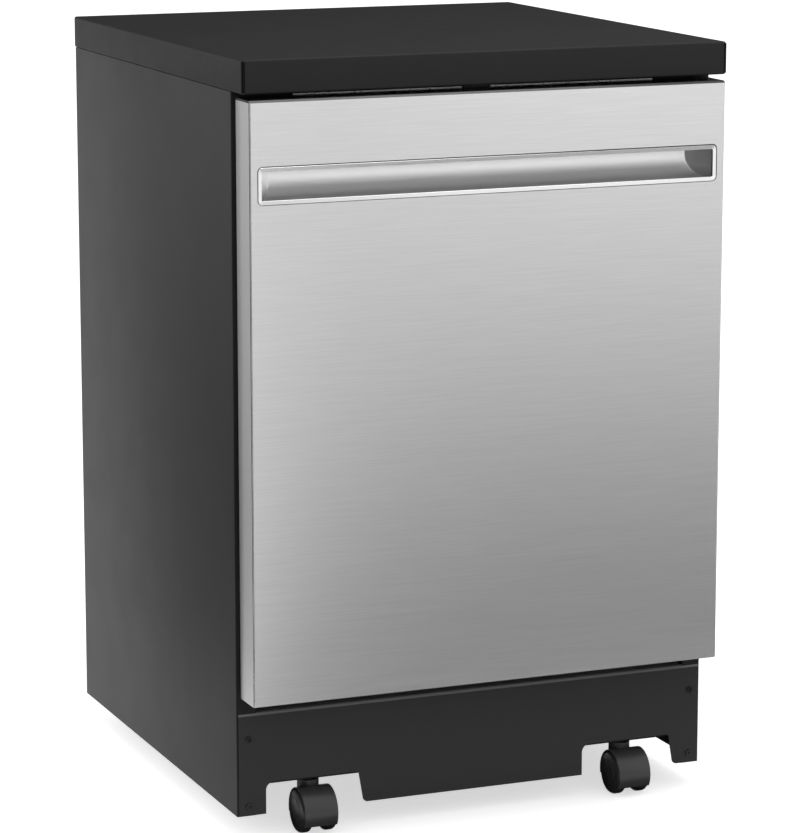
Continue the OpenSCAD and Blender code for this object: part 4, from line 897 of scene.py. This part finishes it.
def hoses():
    """Moulded rubber hoses, each with its radius and its route in mm: wash pump to feed tube,
    drain pump to its outlet, fill inlet to valve, and valve to tub."""
    routes = (
        (10, [(123, 342, 110), (123, 400, 110), (0, 527.9, 110), (0, 527.9, 167)]),
        (8, [(-122, 322, 100), (-122, 340, 100), (-122, 420, 84), (170, 500, 84), (170, 560, 110),
             (170, 572, 110)]),
        (8, [(120, 572, 110), (120, 560, 110), (120, 560, 60), (-230, 560, 60)]),
        (8, [(-262, 528, 84), (-262, 528, 120), (-250, 528, 140), (-250, 528, 167)]),
    )
    meshes = [wires([eased([at(*p) for p in points], 26 * MM, steps=10)], r * MM, sides=8)
              for r, points in routes]
    piece("rubber_hoses", meshes, "cabinet", "hose_rubber", ["internal_hoses"], 50)


def heater():
    """Sheathed heating rod: most of a ring, with both ends turned down through the tub's floor."""
    centre = at(0, ARM_Y, 180)
    r, start, sweep, steps = 150 * MM, math.radians(110), math.radians(320), 72
    turns = [start + sweep * k / steps for k in range(steps + 1)]
    ringed = [Vector((centre.x + r * math.cos(a), centre.y + r * math.sin(a), centre.z)) for a in turns]
    down = Vector((0, 0, -28 * MM))
    meshes = [wires([[ringed[0] + down, *ringed, ringed[-1] + down]], 4 * MM, sides=6)]
    stand = in_mm([(4.5, 0), (3, 1.5), (3, 10), (0, 10)])
    for a in (200, 270, 340):
        out = Vector((r * math.cos(math.radians(a)), r * math.sin(math.radians(a)), 0))
        meshes.append(lathed(stand, at(0, ARM_Y, 170) + out, "Z", 24))
    piece("heater_rod", meshes, "cabinet", "heater_steel", ["heating_element"], 50)


def motor_can(place, r, length, fins, sign):
    """A motor's finned can in mm, from its place towards the side that sign gives."""
    finned, boss = length - 22, length + 2 * (sign > 0)
    profile = [(0, 0), (r - 3, 0), (r, 3)]
    for k in range(fins):
        a, w = 10 + finned * k / fins, finned / fins
        profile += [(r, a), (r - 1.6, a + 0.25 * w), (r - 1.6, a + 0.6 * w), (r, a + 0.8 * w)]
    profile += [(r, length - 5), (r - 5, length), (r * 0.4, length), (r * 0.38, boss), (0, boss)]
    return lathed(in_mm([(p, q * sign) for p, q in profile]), place, "X", 64)


def pumps():
    """Wash pump and a smaller drain pump: each a motor can, a volute, an outlet and a foot."""
    y, wash_z, drain_z = ARM_Y, 110, 100
    volute = [(18, 0), (40, 0), (46, 4), (46, 18), (42, 22), (0, 22)]
    outlet = [(10, 0), (10, 50), (11, 54), (10.2, 62), (8, 62)]
    wash = [motor_can(at(133, y, wash_z), 40, 98, 12, 1),
            lathed(in_mm(volute), at(112, y, wash_z), "X", 64),
            lathed(in_mm(outlet), at(123, y, wash_z), "Y", 32),
            block(at(152, y - 20, 42), at(212, y + 20, 78), 2 * MM)]
    piece("wash_pump", wash, "cabinet", "pump_body", ["circulation_pump"])
    volute = [(11, 0), (27, 0), (30, -3), (30, -17), (27, -20), (0, -20)]
    outlet = [(8.4, 0), (8.4, 42), (6.5, 42)]
    drain = [motor_can(at(-132, y, drain_z), 24, 58, 8, -1),
             lathed(in_mm(volute), at(-112, y, drain_z), "X", 64),
             lathed(in_mm(outlet), at(-122, y, drain_z), "Y", 32),
             block(at(-178, y - 14, 42), at(-138, y + 14, 82), 2 * MM)]
    piece("drain_pump_body", drain, "cabinet", "pump_body", ["drain_pump"])


# Casters

def curve_round(x, y, r, start, end, steps):
    """Points of an arc in mm between two angles in degrees."""
    turns = [math.radians(start + (end - start) * k / steps) for k in range(steps + 1)]
    return [(x + r * math.cos(a), y + r * math.sin(a)) for a in turns]


def caster_wheel(name, axle, outward):
    """Wheel with rounded shoulders and a domed face that has a ring groove.
    Its profile is (radius, distance from the caster's middle) in mm."""
    dome, crown, bore = 81.3, 25.5, 4.1

    def face(r, sunk=0.0):
        return r, crown - dome + math.sqrt(dome * dome - r * r) - sunk

    profile = [(bore, 9), *curve_round(22.7, 12.5, 3.5, -90, 0, 6), *curve_round(21.2, 17.5, 5, 0, 70, 8)]
    profile += [face(22.6 - 5.6 * k / 5) for k in range(6)]
    profile += [face(16.9, 0.2), face(16.7, 0.4), face(16.3, 0.4), face(16.1, 0.2)]
    profile += [face(16 * (1 - k / 8)) for k in range(9)]
    disc = lathed(in_mm(profile), (0, 0, 0), "X", 96)
    if outward < 0:
        disc = placed(disc, MIRROR)
    disc = placed(disc, x=axle.x, y=axle.y, z=axle.z)
    piece("tyre_" + name, [disc], "wheel_" + name, "wheel_nylon", ["wheel_" + name], 32)


def caster(end, side):
    """Twin-wheel caster: hood, web between the wheels, a cup round the stem, and the two wheels."""
    name = "%s_%s" % (end, side)
    outer_low, outer_high, mid = span("wheel_%s_outer" % name)
    inner_low, inner_high, _ = span("wheel_%s_inner" % name)
    x = (min(outer_low.x, inner_low.x) + max(outer_high.x, inner_high.x)) / 2
    axle = Vector((x, mid.y, mid.z))
    right = 1 if side == "right" else -1
    caster_wheel(name + "_outer", axle, right)
    caster_wheel(name + "_inner", axle, -right)

    # The hood and the web are drawn in Y and Z about the axle, in mm; the front is at 180 degrees.
    hood_r, hood_in, web_r = 28.5, 27, 28.3
    hood_half, web_half, trail = 21 * MM, 8.2 * MM, 18.3 * MM
    shell = curve_round(0, 0, hood_r, -15, 209.4, 48) + curve_round(0, 0, hood_in, 211.2, -15, 48)
    web = curve_round(0, 0, web_r, -29.6, 209.6, 48)
    meshes = []
    for outline, half, edge in ((shell, hood_half, 0.6 * MM), (web, web_half, 0.4 * MM)):
        sheet = plate([in_mm(outline)], 2 * half, edge)
        meshes.append(placed(sheet, SIDEWAYS, axle.x - half, axle.y, axle.z))
    # The stem's shoulder stands just under the base frame's pan, and the cup's lip 8 mm lower.
    pan = (at(0, 0, 39.7).z - axle.z) / MM
    cup = [(0, 4), (13, 4), (13, pan - 8.6), (12.4, pan - 8), (11.4, pan - 8), (11, pan - 8.4)]
    stem = [(11, pan - 12), (6.5, pan - 12), (6.5, pan), (5.5, pan), (5.5, pan + 38), (4.6, pan + 39)]
    stem.append((0, pan + 39))
    meshes.append(lathed(in_mm(cup + stem), (axle.x, axle.y + trail, axle.z), "Z", 48))
    meshes.append(rod(4 * MM, -23.2 * MM, 23.2 * MM, axle, "X", 32))
    piece("caster_body_" + name, meshes, "caster_" + name, "caster_nylon", ["caster_" + name], 32)


# Build everything

worktop()
side_panel("left")
side_panel("right")
rear_screws()
outlets()
door_skin()
pocket_bezel()
pocket_hollow()
buttons()
lid()
rinse_cap()
gasket()
springs()
lower_rack()
upper_rack()
manifold()
rollers()
silverware_basket()
spray_arm("lower_spray_arm", 12.1 * MM)
spray_arm("upper_spray_arm", 9.1 * MM)
heater()
pumps()
hoses()
for end in ("front", "rear"):
    for side in ("left", "right"):
        caster(end, side)

# CAD nodes that keep their own shape: their finish, and how many mm soften their edges.
for node, slot, edge in (
    ("worktop_frame", "frame_paint", 0.3), ("trim_strips", "bright_steel", 0.3),
    ("rear_panel", "cabinet_paint", 0.0), ("toe_kick", "toe_paint", 0.25),
    ("toe_kick_screws", "screw_black", 0.2), ("base_frame", "frame_paint", 0.3),
    ("tub", "tub_plastic", 0.0), ("sump", "sump_plastic", 0.4), ("filters", "filter_mesh", 0.3),
    ("inlet_valve", "valve_plastic", 0.8), ("float_switch", "valve_plastic", 0.5),
    ("float", "valve_plastic", 1.0), ("rack_rails", "rail_steel", 0.4),
    ("latch_strike", "latch_dark", 0.3), ("hinge_brackets", "bracket_steel", 0.3),
    ("feed_tube", "feed_plastic", 0.4), ("door_liner", "tub_plastic", 0.0),
    ("control_strip", "strip_plastic", 0.25), ("control_board", "board_green", 0.0),
    ("dispenser_body", "dispenser_plastic", 0.6), ("door_latch", "latch_dark", 0.3),
    ("hinge_arms", "bracket_steel", 0.3), ("indicator_lenses", "lens_clear", 0.0),
):
    dress(node, slot, edge)


# Studio

def stage_sheet(name, corners, material):
    """One flat sheet of the studio."""
    mesh = bpy.data.meshes.new(name)
    mesh.from_pydata(corners, [], [(0, 1, 2, 3)])
    mesh.materials.append(material)
    made = in_scene(name, mesh)
    return made


def background_rays(tree):
    """One for rays from the camera and for what metal and clear plastic show of the background."""
    shown = add(tree, "LightPath").outputs
    direct, glossy = shown["Is Camera Ray"], shown["Is Glossy Ray"]
    seen = add(tree, "Math", {0: direct, 1: glossy}, operation="MAXIMUM").outputs[0]
    return add(tree, "Math", {0: seen, 1: shown["Is Transmission Ray"]}, operation="MAXIMUM").outputs[0]


def studio_floor():
    """Seamless white studio paper, lifted to full white behind the object but not in its shadow."""
    f = Finish("studio_paper", "#e2e2e2", 0.9, gloss=0.0)
    f.shade(f.noise(400, 2), "#e0e0e0")
    f.set("Emission Color", linear("#ffffff"))
    glow = 0.62  # brings lit paper to full white
    lift = add(f.tree, "Math", {0: background_rays(f.tree), 1: glow}, operation="MULTIPLY").outputs[0]
    f.tree.links.new(lift, f.shader.inputs["Emission Strength"])
    far = 14.0
    stage_sheet("studio_floor", [(-far, -far, 0), (far, -far, 0), (far, far, 0), (-far, far, 0)], f.material)


def upright(one, two, foot, top):
    """Corners of a sheet that stands between two places on the floor."""
    return [(*one, foot), (*two, foot), (*two, top), (*one, top)]


def card(name, colour, *sheets):
    """A grey card near the object that only its reflections see, as a studio shapes shine on metal, or,
    under it, as painted shadow.
    """
    f = Finish(name, colour, 0.9, gloss=0.0)
    for i, corners in enumerate(sheets):
        made = stage_sheet("%s_%d" % (name, i), corners, f.material)
        made.visible_camera = made.visible_diffuse = made.visible_shadow = False


def lamp(name, place, aim, width, power, tall=None):
    """A soft rectangular lamp that points at aim; it is square unless its height is given."""
    light = bpy.data.lights.new(name, "AREA")
    light.shape, light.size, light.size_y, light.energy = "RECTANGLE", width, tall or width, power
    holder = in_scene(name, light)
    holder.location = place
    holder.rotation_mode = "QUATERNION"
    holder.rotation_quaternion = (Vector(aim) - Vector(place)).to_track_quat("-Z", "Y")


def studio_world():
    """White to the camera, metal and glass, and a level soft fill for everything else."""
    world = bpy.data.worlds.new("studio")
    bpy.context.scene.world = world
    world.use_nodes = True
    tree = world.node_tree
    levels = {"Value": background_rays(tree), "To Min": 0.85, "To Max": 1.0}
    background = tree.nodes["Background"]
    background.inputs["Color"].default_value = (1, 1, 1, 1)
    tree.links.new(add(tree, "MapRange", levels).outputs["Result"], background.inputs["Strength"])


def camera():
    """The photograph's place: 22 degrees to the left and 11 above, 4.5 m away."""
    focal_px, tall_px, sensor = 3584.6, 833, 36.0
    azimuth, elevation, away = math.radians(-22.381), math.radians(11.195), 4.53878
    target = Vector((0.026608, 0.02825, 0.431015))
    level = math.cos(elevation)
    back = Vector((math.sin(azimuth) * level, -math.cos(azimuth) * level, math.sin(elevation)))
    data = bpy.data.cameras.new("camera")
    data.sensor_width, data.lens = sensor, focal_px * sensor / tall_px
    data.clip_start, data.clip_end = 0.1, 100
    holder = in_scene("camera", data)
    holder.location = target + back * away
    holder.rotation_mode = "QUATERNION"
    holder.rotation_quaternion = (-back).to_track_quat("-Z", "Y")
    bpy.context.scene.camera = holder


studio_floor()
# Painted shadow: a dark card under the cabinet that reflections see in place of the shaded floor.
card("under_shadow_card", "#181818",
     [(-0.3, -0.34, 0.003), (0.31, -0.34, 0.003), (0.31, 0.32, 0.003), (-0.3, 0.32, 0.003)])
card("front_card", "#404040",
     [(-0.3, -0.5, 0.002), (1.2, -0.5, 0.002), (2.3, -2.6, 0.002), (0.5, -2.6, 0.002)],
     upright((0.5, -2.6), (2.3, -2.6), 0, 0.16))
card("veil_card", "#d0d0d0", upright((0.2, -2.62), (0.7, -2.62), 0.25, 1.2))
card("left_card", "#101010",
     [(-1.5, -1.6, 0.002), (-0.6, -2.0, 0.002), (-0.4, -0.35, 0.002), (-1.5, 0.2, 0.002)],
     upright((-1.5, -1.6), (-1.5, 0.2), 0, 1.6), upright((-1.5, -1.6), (-0.7, -2.0), 0, 1.6))
card("side_card", "#888888",
     upright((-3.2, 0.9), (-0.58, 0.9), 0, 1.6),
     [(-3.2, 0.2, 0.002), (-0.5, 0.2, 0.002), (-0.58, 0.9, 0.002), (-3.2, 0.9, 0.002)])
card("rear_card", "#303030", upright((-2.2, 1.6), (2.2, 1.6), 0.93, 3.2))
studio_world()
camera()
lamp("overhead", (0.3, -0.45, 2.4), (0, -0.2, 0.7), 1.6, 11, 0.9)
lamp("left_rear", (-2.2, 1.8, 1.2), (-0.2, 0.1, 0.5), 1.2, 22)

bpy.context.scene.view_settings.view_transform = "Standard"
